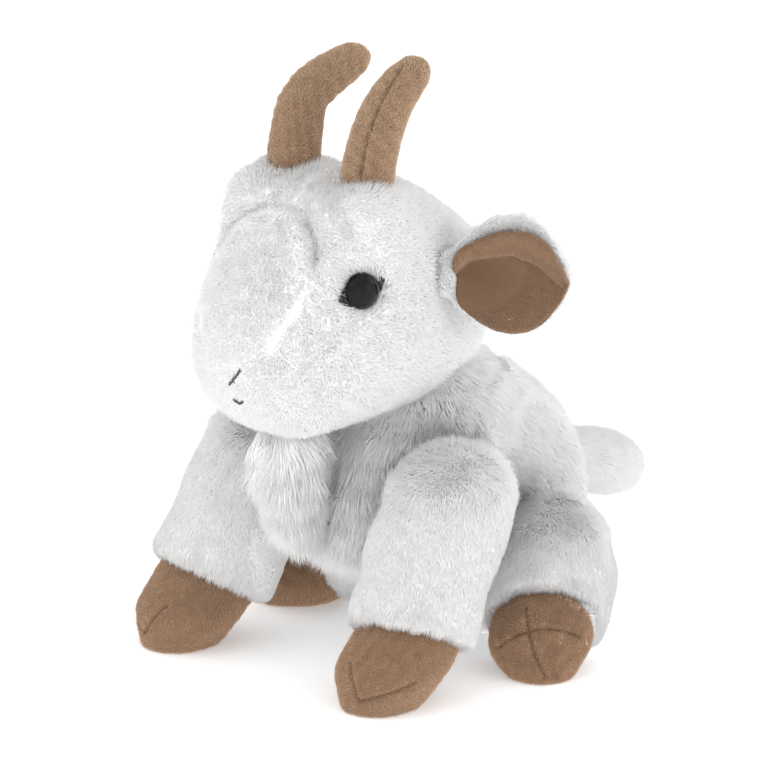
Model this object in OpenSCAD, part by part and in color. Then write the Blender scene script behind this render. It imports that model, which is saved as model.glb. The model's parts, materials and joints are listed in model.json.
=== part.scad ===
// Small plush goat soft toy, sitting with its legs spread, built from its sewn skins, fillings and trim.
// Millimetres, +Z up. The goat faces -Y, its left side is +X, and the floor is at Z = 0.
// The origin lies on the floor, under the middle of the toy's length and width.

/* [Fabric] */
// Thickness of the plush backing that forms each white skin
plush_t = 2.2; // [1.6:0.1:2.8]
// Thickness of the short velour on horns, ears and hooves
velour_t = 1.5; // [1:0.1:2]
// Clearance between any two separate pieces
gap = 0.3; // [0.2:0.05:0.4]
// Slack of the leg fillings where they pass the cuffs
cuff_slack = 1; // [0.5:0.1:2]

/* [Head] */
// Length of the head from the nose to the back of the skull
head_l = 107; // [103:1:111]
// Distance of the nose in front of the neck's centre
nose_reach = 89; // [87:1:92]
// Width of the head across the cheeks
head_w = 76; // [72:1:80]
// Height of the skull above the chin
head_h = 84; // [80:1:88]
// Height of the chin above the neck's centre
chin_rise = 9; // [8:0.5:12]

/* [Neck] */
// Height of the neck's centre above the floor
neck_z = 78; // [76:1:82]
// Radius of the filled neck ball that the head turns on
neck_r = 30; // [28:0.5:31]
// Thickness of the gathered neck seam
neck_seam_t = 1.9; // [1.4:0.1:2.2]
// Height of the neck seam's lower edge above the neck's centre
neck_seam_low = 5; // [4:0.5:7]
// Width of the neck seam, measured upwards
neck_seam_h = 10; // [8:0.5:12]
// Height of the torso skin's collar under the neck seam
collar_h = 14; // [10:1:18]

/* [Torso] */
// Length of the torso from the chest to the rump
torso_l = 94; // [90:1:98]
// Distance of the chest in front of the neck's centre
chest_reach = 32; // [29:1:34]
// Height of the shoulders above the floor
torso_h = 97; // [93:1:101]
// Width between the flat flanks that the legs are sewn to
flank_w = 52; // [48:1:56]
// Thickness of the seat panel
seat_t = 1.5; // [1.2:0.1:2.5]
// Width of the seat panel
seat_w = 34; // [28:1:38]
// Length of the seat panel
seat_l = 50; // [46:1:54]
// Height of the bean pouch
pouch_h = 20; // [16:1:24]
// Length of the bean pouch
pouch_l = 34; // [30:1:36]
// Height of the bean pouch's underside above the floor
pouch_z = 8; // [7:0.5:10]
// Width of the bean pouch
pouch_w = 32; // [30:1:34]

/* [Front legs] */
// Half the thickness of a front leg, front to back
foreleg_r = 22; // [20:0.5:23]
// Half the width of a front leg, side to side
foreleg_side_r = 21.5; // [20.5:0.5:22.5]
// Height of the shoulder hinge above the floor
shoulder_z = 64; // [61:1:67]
// Distance of the shoulder hinge in front of the neck's centre
shoulder_reach = 27; // [25:1:30]
// Height of the front cuff above the floor
forecuff_z = 22.5; // [21:0.5:25]
// Distance of the front cuff in front of the neck's centre
forecuff_reach = 51; // [49:1:53]
// How far the front cuffs stand outside the shoulders
forecuff_out = 1.5; // [0:0.5:3]
// Length of a front hoof in front of its cuff
forehoof_l = 28; // [26:1:31]

/* [Hind legs] */
// Half the thickness of a thigh
thigh_r = 27; // [25:0.5:29]
// Half the width of a thigh, side to side
thigh_side_r = 18.5; // [17.5:0.5:19.5]
// Height of the hip hinge above the floor
hip_z = 32; // [30:1:34]
// Distance of the hip hinge behind the neck's centre
hip_back = 27; // [25:1:29]
// Distance of the hind cuff behind the neck's centre
hindcuff_back = 6; // [5:1:8]
// Height of the hind cuff above the floor
hindcuff_z = 16.5; // [15.5:0.5:18]
// Distance that the hind cuff stands out beyond the thigh's middle
hindcuff_out = 8; // [6:0.5:10]
// Length of a hind hoof in front of its cuff
hindhoof_l = 20; // [18:1:23]

/* [Hooves] */
// Half the width of a hoof
hoof_side_r = 18; // [16:0.5:18.5]
// Half the thickness of a hoof where it meets the leg
hoof_r = 16; // [14:0.5:16.5]
// Thickness of a hoof's sole panel
sole_t = 1.5; // [1.2:0.1:2.5]
// Depth by which a hoof is sewn into its leg's cuff
cuff_lap = 2.5; // [2:0.5:3.5]

/* [Horns] */
// Radius of a horn at its base
horn_r = 8.8; // [7.5:0.1:10]
// Height of the left horn above its base
left_horn_h = 35.5; // [33:0.5:39]
// Distance that the left horn's tip sweeps back
left_horn_sweep = 23; // [18:1:28]
// Distance that the left horn's tip leans outwards
left_horn_lean = 5; // [1:0.5:7]
// Share of its sweep that the left horn has at half its height
left_horn_hook = 0.32; // [0.1:0.02:0.4]
// Height of the right horn above its base
right_horn_h = 31.5; // [30:0.5:35]
// Distance that the right horn's tip sweeps back
right_horn_sweep = 35; // [31:1:38]
// Distance that the right horn's tip leans outwards
right_horn_lean = 0.5; // [0:0.5:3]
// Share of its sweep that the right horn has at half its height
right_horn_hook = 0.18; // [0.1:0.02:0.4]

/* [Ears] */
// Length of an ear from its root to its tip
ear_l = 40; // [36:1:44]
// Width of an ear across its middle
ear_w = 36; // [32:1:40]
// Depth of the ear's cup
ear_cup = 8; // [5:0.5:10]
// Height of the ear's upper rim above its lining
ear_rim = 5; // [2:0.5:7]
// Thickness of the ear's plush back
ear_t = 4.4; // [3.4:0.2:5]
// Radius of the sewn root that the ear bends about
ear_root_r = 4; // [3.4:0.2:4.6]

/* [Eyes] */
// Diameter of an eye
eye_d = 12.4; // [11:0.2:14]
// Height of an eye's dome
eye_h = 4.4; // [3.8:0.2:5]
// Radius of the eye's shank
shank_r = 1.6; // [1.2:0.1:2]
// Radius of the washer that locks the eye
washer_r = 6.5; // [5.5:0.5:7.5]
// Thickness of the washer
washer_t = 1.2; // [1:0.1:1.6]
// Length of the dark almond patch behind an eye
patch_l = 18; // [16.5:0.5:20]
// Thickness of the patch
patch_t = 0.6; // [0.4:0.1:1]

/* [Stitches] */
// Radius of the embroidery thread
thread_r = 0.6; // [0.4:0.1:0.9]

/* [Beard] */
// Length of the beard below the chin
beard_l = 42; // [36:1:46]
// Half the width of the beard at its root
beard_r = 10; // [8:0.5:12]

/* [Tail] */
// Length of the tail
tail_l = 38; // [32:1:40]
// Half the width of the tail
tail_side_r = 13; // [11:0.5:15]
// Radius of the tail's sewn root
tail_root_r = 7; // [6:0.5:8]

/* [Hidden] */

white = [0.95, 0.95, 0.93];
tan = [0.63, 0.49, 0.38];
fibre = [0.88, 0.88, 0.86];
black = [0.05, 0.05, 0.06];
grey = [0.35, 0.35, 0.36];

// Smooth curves through key values: each key is [position, value], and a value may be a vector.
function key_index(keys, t, i = 0) =
    i >= len(keys) - 2 || t <= keys[i + 1][0] ? i : key_index(keys, t, i + 1);
function key_slope(keys, i) =
    let (a = max(i - 1, 0), b = min(i + 1, len(keys) - 1))
    (keys[b][1] - keys[a][1]) / (keys[b][0] - keys[a][0]);
function smooth(keys, t) =
    let (
        i = key_index(keys, t),
        h = keys[i + 1][0] - keys[i][0],
        u = min(max((t - keys[i][0]) / h, 0), 1)
    )
    (2 * u ^ 3 - 3 * u ^ 2 + 1) * keys[i][1] + (u ^ 3 - 2 * u ^ 2 + u) * h * key_slope(keys, i)
    + (3 * u ^ 2 - 2 * u ^ 3) * keys[i + 1][1] + (u ^ 3 - u ^ 2) * h * key_slope(keys, i + 1);
function unit(v) = v / norm(v);
// Rounding of a closed end: 0 at the very end, 1 from reach onwards.
function end_round(d, reach) = sqrt(max(0, 1 - (1 - min(max(d, 0) / reach, 1)) ^ 2));

// A closed solid through equal rings, with a point at each end.
// Rings run counter-clockwise about the way that they advance. A ring list that goes out along
// a wall and comes back inside it makes a sock: a wall with one open end.
module loft(rings, tip_a, tip_b) {
    n = len(rings[0]);
    points = [tip_a, for (ring = rings) each ring, tip_b];
    end = len(points) - 1;
    polyhedron(points, [
        for (i = [0 : n - 1]) [0, 1 + i, 1 + (i + 1) % n],
        for (j = [0 : len(rings) - 2], i = [0 : n - 1])
            let (a = 1 + j * n + i, b = 1 + j * n + (i + 1) % n) each [[a, a + n, b], [b, a + n, b + n]],
        for (i = [0 : n - 1]) [end, end - n + (i + 1) % n, end - n + i]
    ]);
}

// Turn +Z to a normal and move to a point.
module facing(p, n) {
    translate(p) rotate([0, acos(n.z), atan2(n.y, n.x)]) children();
}
module left_and_mirrored(left) {
    if (left) children();
    else mirror([1, 0, 0]) children();
}

// ---- Forms cut across by upright slices: the head and the torso ----
// A form is [front y, length, section keys, power, front rounding, rear rounding].
// A section is [middle height, half height, half width].
function rounded_trig(value, power) = sign(value) * abs(value) ^ (2 / power);
function form_section(form, f, inset) =
    let (
        y = f * form[1],
        k = end_round(y, form[4]) * end_round(form[1] - y, form[5]),
        s = smooth(form[2], f)
    )
    [s[0], (s[1] - inset) * k, (s[2] - inset) * k];
function form_point(form, f, a, inset = 0) =
    let (s = form_section(form, f, inset))
    [
        s[2] * rounded_trig(cos(a), form[3]),
        form[0] + inset + f * (form[1] - 2 * inset),
        s[0] + s[1] * rounded_trig(sin(a), form[3])
    ];
// Slices from the rear to the front, closer together near both ends.
function slices(n) = [for (j = [1 : n - 1]) (1 + cos(180 * j / n)) / 2];

// ---- Frame ----
// Everything is drawn about the neck's centre, and then moved so that the toy's length is centred.
flank_x = flank_w / 2;
neck = [0, 0, neck_z];
module placed() {
    translate([0, (nose_reach - tail_tip().y) / 2, 0]) children();
}

// ---- Head ----
chin_z = neck_z + chin_rise;
head_sections = [
    [0, [chin_z + 0.36 * head_h, 0.15 * head_h, 0.24 * head_w]],
    [0.045, [chin_z + 0.36 * head_h, 0.215 * head_h, 0.29 * head_w]],
    [0.095, [chin_z + 0.37 * head_h, 0.295 * head_h, 0.325 * head_w]],
    [0.17, [chin_z + 0.41 * head_h, 0.41 * head_h, 0.38 * head_w]],
    [0.275, [chin_z + 0.46 * head_h, 0.45 * head_h, 0.45 * head_w]],
    [0.45, [chin_z + 0.525 * head_h, 0.49 * head_h, 0.49 * head_w]],
    [0.64, [chin_z + 0.51 * head_h, 0.44 * head_h, 0.48 * head_w]],
    [0.81, [chin_z + 0.465 * head_h, 0.345 * head_h, 0.41 * head_w]],
    [0.94, [chin_z + 0.45 * head_h, 0.29 * head_h, 0.34 * head_w]],
    [1, [chin_z + 0.44 * head_h, 0.25 * head_h, 0.29 * head_w]]
];
head_form = [-nose_reach, head_l, head_sections, 2.7, 0.075 * head_l, 0.2 * head_l];
// Swellings and hollows: [place as x, y, z shares of the head, spread and height as shares of its length].
// In turn: brow corner, horn seat, cheek, lip and eye socket.
head_swells = [
    [[0.44, 0.32, 1.05], 0.112, 0.13],
    [[0.22, 0.44, 1], 0.084, -0.023],
    [[0.42, 0.38, 0.24], 0.12, 0.024],
    [[0.24, 0.1, 0.2], 0.084, 0.015],
    [[0.44, 0.28, 0.64], 0.075, -0.028]
];
function swell_sum(p, i = 0) =
    i == len(head_swells) ? 0 :
        let (
            w = head_swells[i],
            c = [w[0][0] * head_w, head_form[0] + w[0][1] * head_l, chin_z + w[0][2] * head_h],
            d = norm([abs(p.x), p.y, p.z] - c)
        )
        w[2] * head_l * exp(-d ^ 2 / (2 * (w[1] * head_l) ^ 2)) + swell_sum(p, i + 1);
function head_point(f, a, inset = 0) =
    let (p = form_point(head_form, f, a, inset), c = [0, p.y, form_section(head_form, f, inset)[0]])
    norm(p - c) < 1 ? p : p + swell_sum(p) * unit(p - c);
function head_normal(f, a) =
    let (
        along = head_point(f + 0.004, a) - head_point(f - 0.004, a),
        around = head_point(f, a + 1) - head_point(f, a - 1),
        n = unit(cross(along, around)),
        outward = head_point(f, a) - [0, head_point(f, a).y, form_section(head_form, f, 0)[0]]
    )
    n * sign(n * outward);
body_segments = 32;
head_slices = 26;
inner_slices = 12;
module head_form_solid(count, segments, inset) {
    loft(
        [for (f = slices(count)) [for (i = [0 : segments - 1]) head_point(f, 360 * i / segments, inset)]],
        head_point(1, 0, inset),
        head_point(0, 0, inset)
    );
}
pocket_r = neck_r + gap + neck_seam_t + gap;
// Place of an eye on the head, as a share of its length and an angle round it
eye_f = 0.29;
eye_a = 14.5;
// Length of the shank behind its washer, and the depth of the washer's front
shank_end = 1.5;
washer_depth = plush_t + 2 * gap;
module head_pocket(extra) {
    translate(neck) sphere(r = pocket_r + extra, $fn = 96);
}
module head_skin() {
    color(white) placed() difference() {
        head_form_solid(head_slices, body_segments, 0);
        head_form_solid(inner_slices, body_segments, plush_t);
        head_pocket(gap);
        for (side = [1, -1])
            eye_place(side) cylinder(h = 4 * plush_t, r = shank_r + gap, center = true, $fn = 32);
    }
}
module head_stuffing() {
    color(fibre) placed() difference() {
        head_form_solid(inner_slices, body_segments, plush_t + gap);
        head_pocket(gap);
        for (side = [1, -1])
            eye_place(side) translate([0, 0, -washer_depth - washer_t - gap - shank_end])
                cylinder(h = washer_depth + washer_t + shank_end, r = washer_r + gap, $fn = 32);
    }
}

// ---- Neck ----
module neck_stuffing() {
    color(fibre) placed() translate(neck) sphere(r = neck_r, $fn = 96);
}
module neck_seam() {
    color(white) placed() translate(neck) rotate_extrude($fn = 96) intersection() {
        difference() {
            circle(r = neck_r + gap + neck_seam_t, $fn = 96);
            circle(r = neck_r + gap, $fn = 96);
        }
        translate([0, neck_seam_low]) square([2 * neck_r, neck_seam_h]);
    }
}

// ---- Eyes ----
// Height of the felt patch over the curved face it lies on
patch_rise = 0.9;
// Turn of the patch about the eye, and its width as a share of the eye's
patch_turn = 20;
patch_part = 0.8;
module eye_place(side) {
    left_and_mirrored(side > 0) facing(head_point(eye_f, eye_a), head_normal(eye_f, eye_a)) children();
}
module eye(side) {
    dome_base = patch_rise + patch_t + gap;
    dome_curve = (eye_d ^ 2 / 4 + eye_h ^ 2) / (2 * eye_h);
    color(black) placed() eye_place(side) union() {
        rotate_extrude($fn = 64) intersection() {
            translate([0, dome_base + eye_h - dome_curve]) circle(r = dome_curve, $fn = 64);
            translate([0, dome_base]) square([eye_d, eye_h]);
        }
        translate([0, 0, -washer_depth - washer_t - shank_end])
            cylinder(h = washer_depth + washer_t + shank_end + dome_base + 1, r = shank_r, $fn = 32);
    }
}
module eye_washer(side) {
    color(grey) placed() eye_place(side) translate([0, 0, -washer_depth - washer_t]) difference() {
        cylinder(h = washer_t, r = washer_r, $fn = 48);
        translate([0, 0, -1]) cylinder(h = washer_t + 2, r = shank_r + 0.05, $fn = 32);
    }
}
module eye_patch(side) {
    patch_half = patch_part * eye_d / 2;
    arc_r = (patch_l ^ 2 / 4 + patch_half ^ 2) / (2 * patch_half);
    color(black) placed() eye_place(side) rotate([0, 0, patch_turn]) translate([0, 0, patch_rise])
        difference() {
            intersection_for (s = [1, -1])
                translate([s * (arc_r - patch_half), 0, 0]) cylinder(h = patch_t, r = arc_r, $fn = 96);
            translate([0, 0, -1]) cylinder(h = patch_t + 2, r = shank_r + gap, $fn = 32);
        }
}

// ---- Nostrils and mouth ----
// The nose's face at a given x and height: the slice there is found by halving.
function slice_reach(f, x, z) =
    let (s = form_section(head_form, f, 0))
    (abs(x) / max(s[2], 0.01)) ^ head_form[3] + (abs(z - s[0]) / max(s[1], 0.01)) ^ head_form[3];
function nose_f(x, z, low = 0, high = 0.4, steps = 18) =
    let (mid = (low + high) / 2, outside = slice_reach(mid, x, z) > 1)
    steps == 0 ? mid : nose_f(x, z, outside ? mid : low, outside ? high : mid, steps - 1);
function nose_point(x, z) = [x, head_form[0] + nose_f(x, z) * head_l - thread_r - gap, z];
module stitch(p, q) {
    length = norm(q - p);
    facing(p, unit(q - p)) rotate_extrude($fn = 16) intersection() {
        union() {
            square([thread_r, length]);
            circle(r = thread_r, $fn = 16);
            translate([0, length]) circle(r = thread_r, $fn = 16);
        }
        translate([0, -thread_r]) square([thread_r, length + 2 * thread_r]);
    }
}
nostril_z = chin_z + 0.34 * head_h;
nostril_x = 8.5;
module nostril_stitch(side) {
    color(grey) placed() left_and_mirrored(side > 0)
        stitch(nose_point(nostril_x, nostril_z), nose_point(nostril_x - 5, nostril_z - 6));
}
mouth_z = chin_z + 0.2 * head_h;
mouth_x = 8;
module mouth_stitch() {
    color(grey) placed() for (side = [1, -1])
        stitch(nose_point(side * (thread_r + gap), mouth_z - 2), nose_point(side * mouth_x, mouth_z));
}

// ---- Limbs: tubes swept along smooth paths ----
// A bound that lies beyond the whole toy
far = 2 * (head_l + torso_l);
// A path's keys are [position, [x, y, z, half thickness, half width]].
function place_of(s) = [s[0], s[1], s[2]];
function path_way(keys, t) =
    unit(place_of(smooth(keys, min(t + 0.02, 1)) - smooth(keys, max(t - 0.02, 0))));
function path_ring(keys, t, n, inset = 0, start_round = 0, end_reach = 0) =
    let (
        s = smooth(keys, t),
        way = path_way(keys, t),
        side = unit([1, 0, 0] - way.x * way),
        up = cross(side, way),
        k_start = start_round > 0 ? end_round(t, start_round) : 1,
        k = k_start * (end_reach > 0 ? end_round(1 - t, end_reach) : 1)
    )
    [for (i = [0 : n - 1]) let (a = 360 * i / n)
        place_of(s) + (s[3] - inset) * k * cos(a) * up + (s[4] - inset) * k * sin(a) * side];
// Positions from the closed end, closer together there; low and high leave room at the ends.
function stations(n, low, high) = [for (j = [1 : n]) low + (high - low) * (1 - cos(90 * j / n))];
function both_ends(n, low, high) = [for (j = [1 : n - 1]) low + (high - low) * (1 - cos(180 * j / n)) / 2];
function path_length(keys, n = 24, i = 0) =
    let (step = i == n ? 0 : norm(place_of(smooth(keys, (i + 1) / n) - smooth(keys, i / n))))
    i == n ? 0 : step + path_length(keys, n, i + 1);
// A ring kept beside the flank and above the floor.
function beside(ring, x_low, z_low) = [for (p = ring) [max(p.x, x_low), p.y, max(p.z, z_low)]];
// A sock along a path: closed at position 0 and open at position 1.
module sock(keys, outer_n, inner_n, segments, wall, rounding, x_low = -far, z_low = -far) {
    start = wall / path_length(keys);
    loft(
        [
            for (t = stations(outer_n, 0, 1))
                beside(path_ring(keys, t, segments, 0, rounding), x_low, z_low),
            for (t = reverse(stations(inner_n, start, 1)))
                beside(path_ring(keys, t, segments, wall, rounding), x_low + wall, z_low + wall)
        ],
        beside([place_of(smooth(keys, 0))], x_low, z_low)[0],
        beside([place_of(smooth(keys, start))], x_low + wall, z_low + wall)[0]
    );
}
function reverse(list) = [for (i = [len(list) - 1 : -1 : 0]) list[i]];
// Rings of a filling, three gaps inside a sock's inner rings and at the same stations; the last one is
// left out, as it lies in the sock's open end.
function nested_rings(keys, inner_n, segments, wall, rounding, x_low = -far, z_low = -far) =
    let (start = wall / path_length(keys), t = stations(inner_n, start, 1), inset = wall + 3 * gap)
    [for (j = [0 : inner_n - 2])
        beside(path_ring(keys, t[j], segments, inset, rounding), x_low + inset, z_low + inset)];
function nested_tip(keys, wall, x_low = -far, z_low = -far) =
    let (inset = wall + 4 * gap)
    beside([place_of(smooth(keys, inset / path_length(keys)))], x_low + inset, z_low + inset)[0];
// A ring met from its other side.
function turned(ring) = let (n = len(ring)) [for (i = [0 : n - 1]) ring[(n + n / 2 - i) % n]];

// ---- Horns ----
horn_f = 0.44;
horn_a = 69;
// How far the skull falls away under a horn's rim
horn_sink = 0.9;
horn_inner_rings = 7;
horn_segments = 16;
horn_rounding = 0.16;
// How far down the horn its filling reaches
horn_filled = 0.97;
function horn_keys(height, sweep, lean, hook) =
    let (p = head_point(horn_f, horn_a), n = head_normal(horn_f, horn_a), b = p + (horn_sink + gap) * n)
    [
        [0, [b.x + lean, b.y + sweep, b.z + height, 0.5 * horn_r, 0.5 * horn_r]],
        [0.22, [b.x + 0.9 * lean, b.y + 0.7 * sweep, b.z + 0.94 * height, 0.72 * horn_r, 0.72 * horn_r]],
        [0.5, [b.x + 0.6 * lean, b.y + hook * sweep, b.z + 0.7 * height, 0.88 * horn_r, 0.88 * horn_r]],
        [0.75, [b.x + 0.3 * lean, b.y + 0.3 * hook * sweep, b.z + 0.36 * height,
            0.96 * horn_r, 0.96 * horn_r]],
        [1, [b.x, b.y, b.z, horn_r, horn_r]]
    ];
function horn_of(side) =
    side > 0 ? horn_keys(left_horn_h, left_horn_sweep, left_horn_lean, left_horn_hook)
        : horn_keys(right_horn_h, right_horn_sweep, right_horn_lean, right_horn_hook);
module horn_skin(side) {
    color(tan) placed() left_and_mirrored(side > 0)
        sock(horn_of(side), 11, horn_inner_rings, horn_segments, velour_t, horn_rounding);
}
module horn_stuffing(side) {
    keys = horn_of(side);
    color(fibre) placed() left_and_mirrored(side > 0) loft(
        [
            each nested_rings(keys, horn_inner_rings, horn_segments, velour_t, horn_rounding),
            path_ring(keys, horn_filled, horn_segments, velour_t + 2 * gap)
        ],
        nested_tip(keys, velour_t),
        place_of(smooth(keys, horn_filled + 0.01))
    );
}

// ---- Ears ----
ear_f = 0.585;
ear_a = 7;
ear_way = [0.72, 0.69, -0.05];
ear_up = unit(cross(cross(ear_way, [0, 0, 1]), ear_way));
ear_back_way = unit(cross(ear_up, ear_way));
function ear_root() = head_point(ear_f, ear_a) + (ear_root_r + gap) * head_normal(ear_f, ear_a);
ear_sections = [
    [0, 0.2],
    [0.15, 0.34],
    [0.4, 0.49],
    [0.62, 0.5],
    [0.82, 0.4],
    [1, 0.22]
];
// A cupped, lens-shaped cross-section; low and high are its faces measured along the cup's depth,
// and rim is how far its upper edge stands above the middle piece.
function ear_ring(s, low, high, trim, rim, n) =
    let (
        f = max(s, 0) / ear_l,
        left = ear_l - trim - s,
        half = (smooth(ear_sections, f) * ear_w - trim) * end_round(left, 0.3 * ear_l) * (s < 0 ? 0.9 : 1),
        k = s < 0 ? sqrt(max(0, 1 - (s / ear_root_r) ^ 2)) : end_round(left + 1, 0.15 * ear_l),
        cup = ear_cup * smooth([[0, 0], [0.3, 0.8], [0.6, 1], [1, 0.5]], f),
        rise = rim * smooth([[0, 0.3], [0.3, 1], [0.7, 0.8], [1, 0]], f)
    )
    [for (i = [0 : n - 1]) let (a = -360 * i / n)
        ear_root() + s * unit(ear_way) + (half * cos(a) + rise * (1 + cos(a)) / 2) * ear_up
        + (cup * (sin(a) ^ 2 - 0.35) + ((low + high) + (high - low) * sin(a)) * k / 2) * ear_back_way];
function middle(ring) = (ring[len(ring) / 4] + ring[3 * len(ring) / 4]) / 2;
module ear_piece(from, to, low, high, trim, rim) {
    loft(
        [for (t = both_ends(11, 0, 1)) ear_ring(from + (to - from) * t, low, high, trim, rim, 16)],
        middle(ear_ring(from, low, high, trim, rim, 16)),
        middle(ear_ring(to, low, high, trim, rim, 16))
    );
}
module ear_back(side) {
    color(white) placed() left_and_mirrored(side > 0)
        ear_piece(-ear_root_r, ear_l, gap / 2, gap / 2 + ear_t, 0, ear_rim);
}
// How far the lining keeps from the ear's edge, and where it starts beyond the root
lining_trim = 0.8;
lining_start = 1.5;
module ear_lining(side) {
    color(tan) placed() left_and_mirrored(side > 0)
        ear_piece(lining_start, ear_l - lining_trim, -gap / 2 - velour_t, -gap / 2, lining_trim, 0);
}

// ---- Beard ----
// Place of the beard under the chin, as a share of the head's length
beard_f = 0.25;
module beard() {
    root = head_point(beard_f, 270);
    keys = [
        [0, [0, root.y, root.z - gap, beard_r, beard_r]],
        [0.4, [0, root.y + 1, root.z - 0.4 * beard_l, 0.8 * beard_r, 0.92 * beard_r]],
        [0.75, [0, root.y + 4, root.z - 0.75 * beard_l, 0.5 * beard_r, 0.6 * beard_r]],
        [1, [0, root.y + 7, root.z - beard_l, 0.2 * beard_r, 0.2 * beard_r]]
    ];
    color(white) placed() loft(
        [for (t = [0, each both_ends(8, 0, 1)]) path_ring(keys, t, 16, 0, 0, 0.1)],
        place_of(smooth(keys, 0)),
        place_of(smooth(keys, 1))
    );
}

// ---- Torso ----
torso_sections = [
    [0, [0.58 * torso_h, 0.18 * torso_h, 0.42 * flank_w]],
    [0.15, [0.6 * torso_h, 0.24 * torso_h, 0.52 * flank_w]],
    [0.3, [0.56 * torso_h, 0.35 * torso_h, 0.58 * flank_w]],
    [0.48, [0.525 * torso_h, 0.515 * torso_h, 0.64 * flank_w]],
    [0.66, [0.4775 * torso_h, 0.4875 * torso_h, 0.67 * flank_w]],
    [0.84, [0.395 * torso_h, 0.405 * torso_h, 0.64 * flank_w]],
    [1, [0.315 * torso_h, 0.305 * torso_h, 0.56 * flank_w]]
];
torso_form = [-chest_reach, torso_l, torso_sections, 2.4, 0.128 * torso_l, 0.18 * torso_l];
function torso_point(f, a, inset) =
    let (p = form_point(torso_form, f, a, inset), x_max = flank_x - inset)
    [min(max(p.x, -x_max), x_max), p.y, max(p.z, seat_t + gap + inset)];
module torso_form_solid(count, segments, inset) {
    loft(
        [for (f = slices(count)) [for (i = [0 : segments - 1]) torso_point(f, 360 * i / segments, inset)]],
        torso_point(1, 0, inset),
        torso_point(0, 0, inset)
    );
}
module torso_skin() {
    color(white) placed() difference() {
        torso_form_solid(22, body_segments, 0);
        torso_form_solid(inner_slices, body_segments, plush_t);
        translate(neck) sphere(r = pocket_r, $fn = 96);
    }
    color(white) placed() neck_collar();
}
// The torso's skin drawn up round the neck ball, to just under the neck seam.
module neck_collar() {
    translate(neck) rotate_extrude($fn = 96) intersection() {
        difference() {
            circle(r = pocket_r + gap, $fn = 96);
            circle(r = neck_r + gap, $fn = 96);
        }
        translate([0, neck_seam_low - gap - collar_h]) square([2 * neck_r, collar_h]);
    }
}
seat_y = torso_form[0] + 0.7 * torso_l;
pouch_forward = 2;
module pouch_form(extra) {
    translate([0, seat_y - pouch_forward, pouch_z + pouch_h / 2]) rotate([90, 0, 0])
        linear_extrude(height = pouch_l + 2 * extra, center = true) union() {
            square([pouch_w - pouch_h, pouch_h + 2 * extra], center = true);
            for (s = [1, -1])
                translate([s * (pouch_w - pouch_h) / 2, 0]) circle(d = pouch_h + 2 * extra, $fn = 48);
        }
}
module torso_stuffing() {
    color(fibre) placed() difference() {
        torso_form_solid(inner_slices, body_segments, plush_t + gap);
        translate(neck) sphere(r = neck_r + gap, $fn = 96);
        collar_room();
        pouch_form(gap);
    }
}
// Room in the filling for the collar and the neck seam above it.
module collar_room() {
    intersection() {
        translate(neck) sphere(r = pocket_r + 2 * gap, $fn = 96);
        translate([-torso_l, -torso_l, neck_z + neck_seam_low - 2 * gap - collar_h])
            cube([2 * torso_l, 2 * torso_l, torso_h]);
    }
}
module bean_pouch() {
    color([0.8, 0.78, 0.72]) placed() pouch_form(0);
}
module seat_panel() {
    color(white) placed() translate([0, seat_y, 0]) linear_extrude(height = seat_t) union() {
        square([seat_w, seat_l - seat_w], center = true);
        for (s = [1, -1]) translate([0, s * (seat_l - seat_w) / 2]) circle(d = seat_w, $fn = 64);
    }
}

// ---- Front legs ----
shoulder = [flank_x + gap + foreleg_side_r - 3, -shoulder_reach, shoulder_z];
forecuff = [flank_x + gap + foreleg_side_r + forecuff_out, -forecuff_reach, forecuff_z];
foreleg_keys = [
    [0, [shoulder.x - 2, shoulder.y + 3, shoulder.z + 18, 0.9 * foreleg_r, 0.85 * foreleg_side_r]],
    [0.33, [shoulder.x, shoulder.y - 1, shoulder.z, foreleg_r, 0.95 * foreleg_side_r]],
    [0.66, [forecuff.x - 3, 0.4 * shoulder.y + 0.6 * forecuff.y - 1, 0.45 * shoulder.z + 0.55 * forecuff.z,
        1.02 * foreleg_r, 0.97 * foreleg_side_r]],
    [1, [forecuff.x, forecuff.y, forecuff.z, foreleg_r, foreleg_side_r]]
];
forehoof_keys = [
    [0, [forecuff.x, forecuff.y - forehoof_l, 0.56 * hoof_r, 0.5 * hoof_r, 0.8 * hoof_side_r]],
    [0.25, [forecuff.x, forecuff.y - 0.72 * forehoof_l, 0.63 * hoof_r, 0.66 * hoof_r, 0.92 * hoof_side_r]],
    [0.5, [forecuff.x, forecuff.y - 0.42 * forehoof_l, 0.78 * hoof_r, 0.81 * hoof_r, hoof_side_r]],
    [0.78, [forecuff.x, forecuff.y - 0.12 * forehoof_l, 1.16 * hoof_r, 0.92 * hoof_r, hoof_side_r]],
    [1, [forecuff.x, forecuff.y + 1, forecuff.z + cuff_lap, hoof_r, 0.95 * hoof_side_r]]
];

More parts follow.
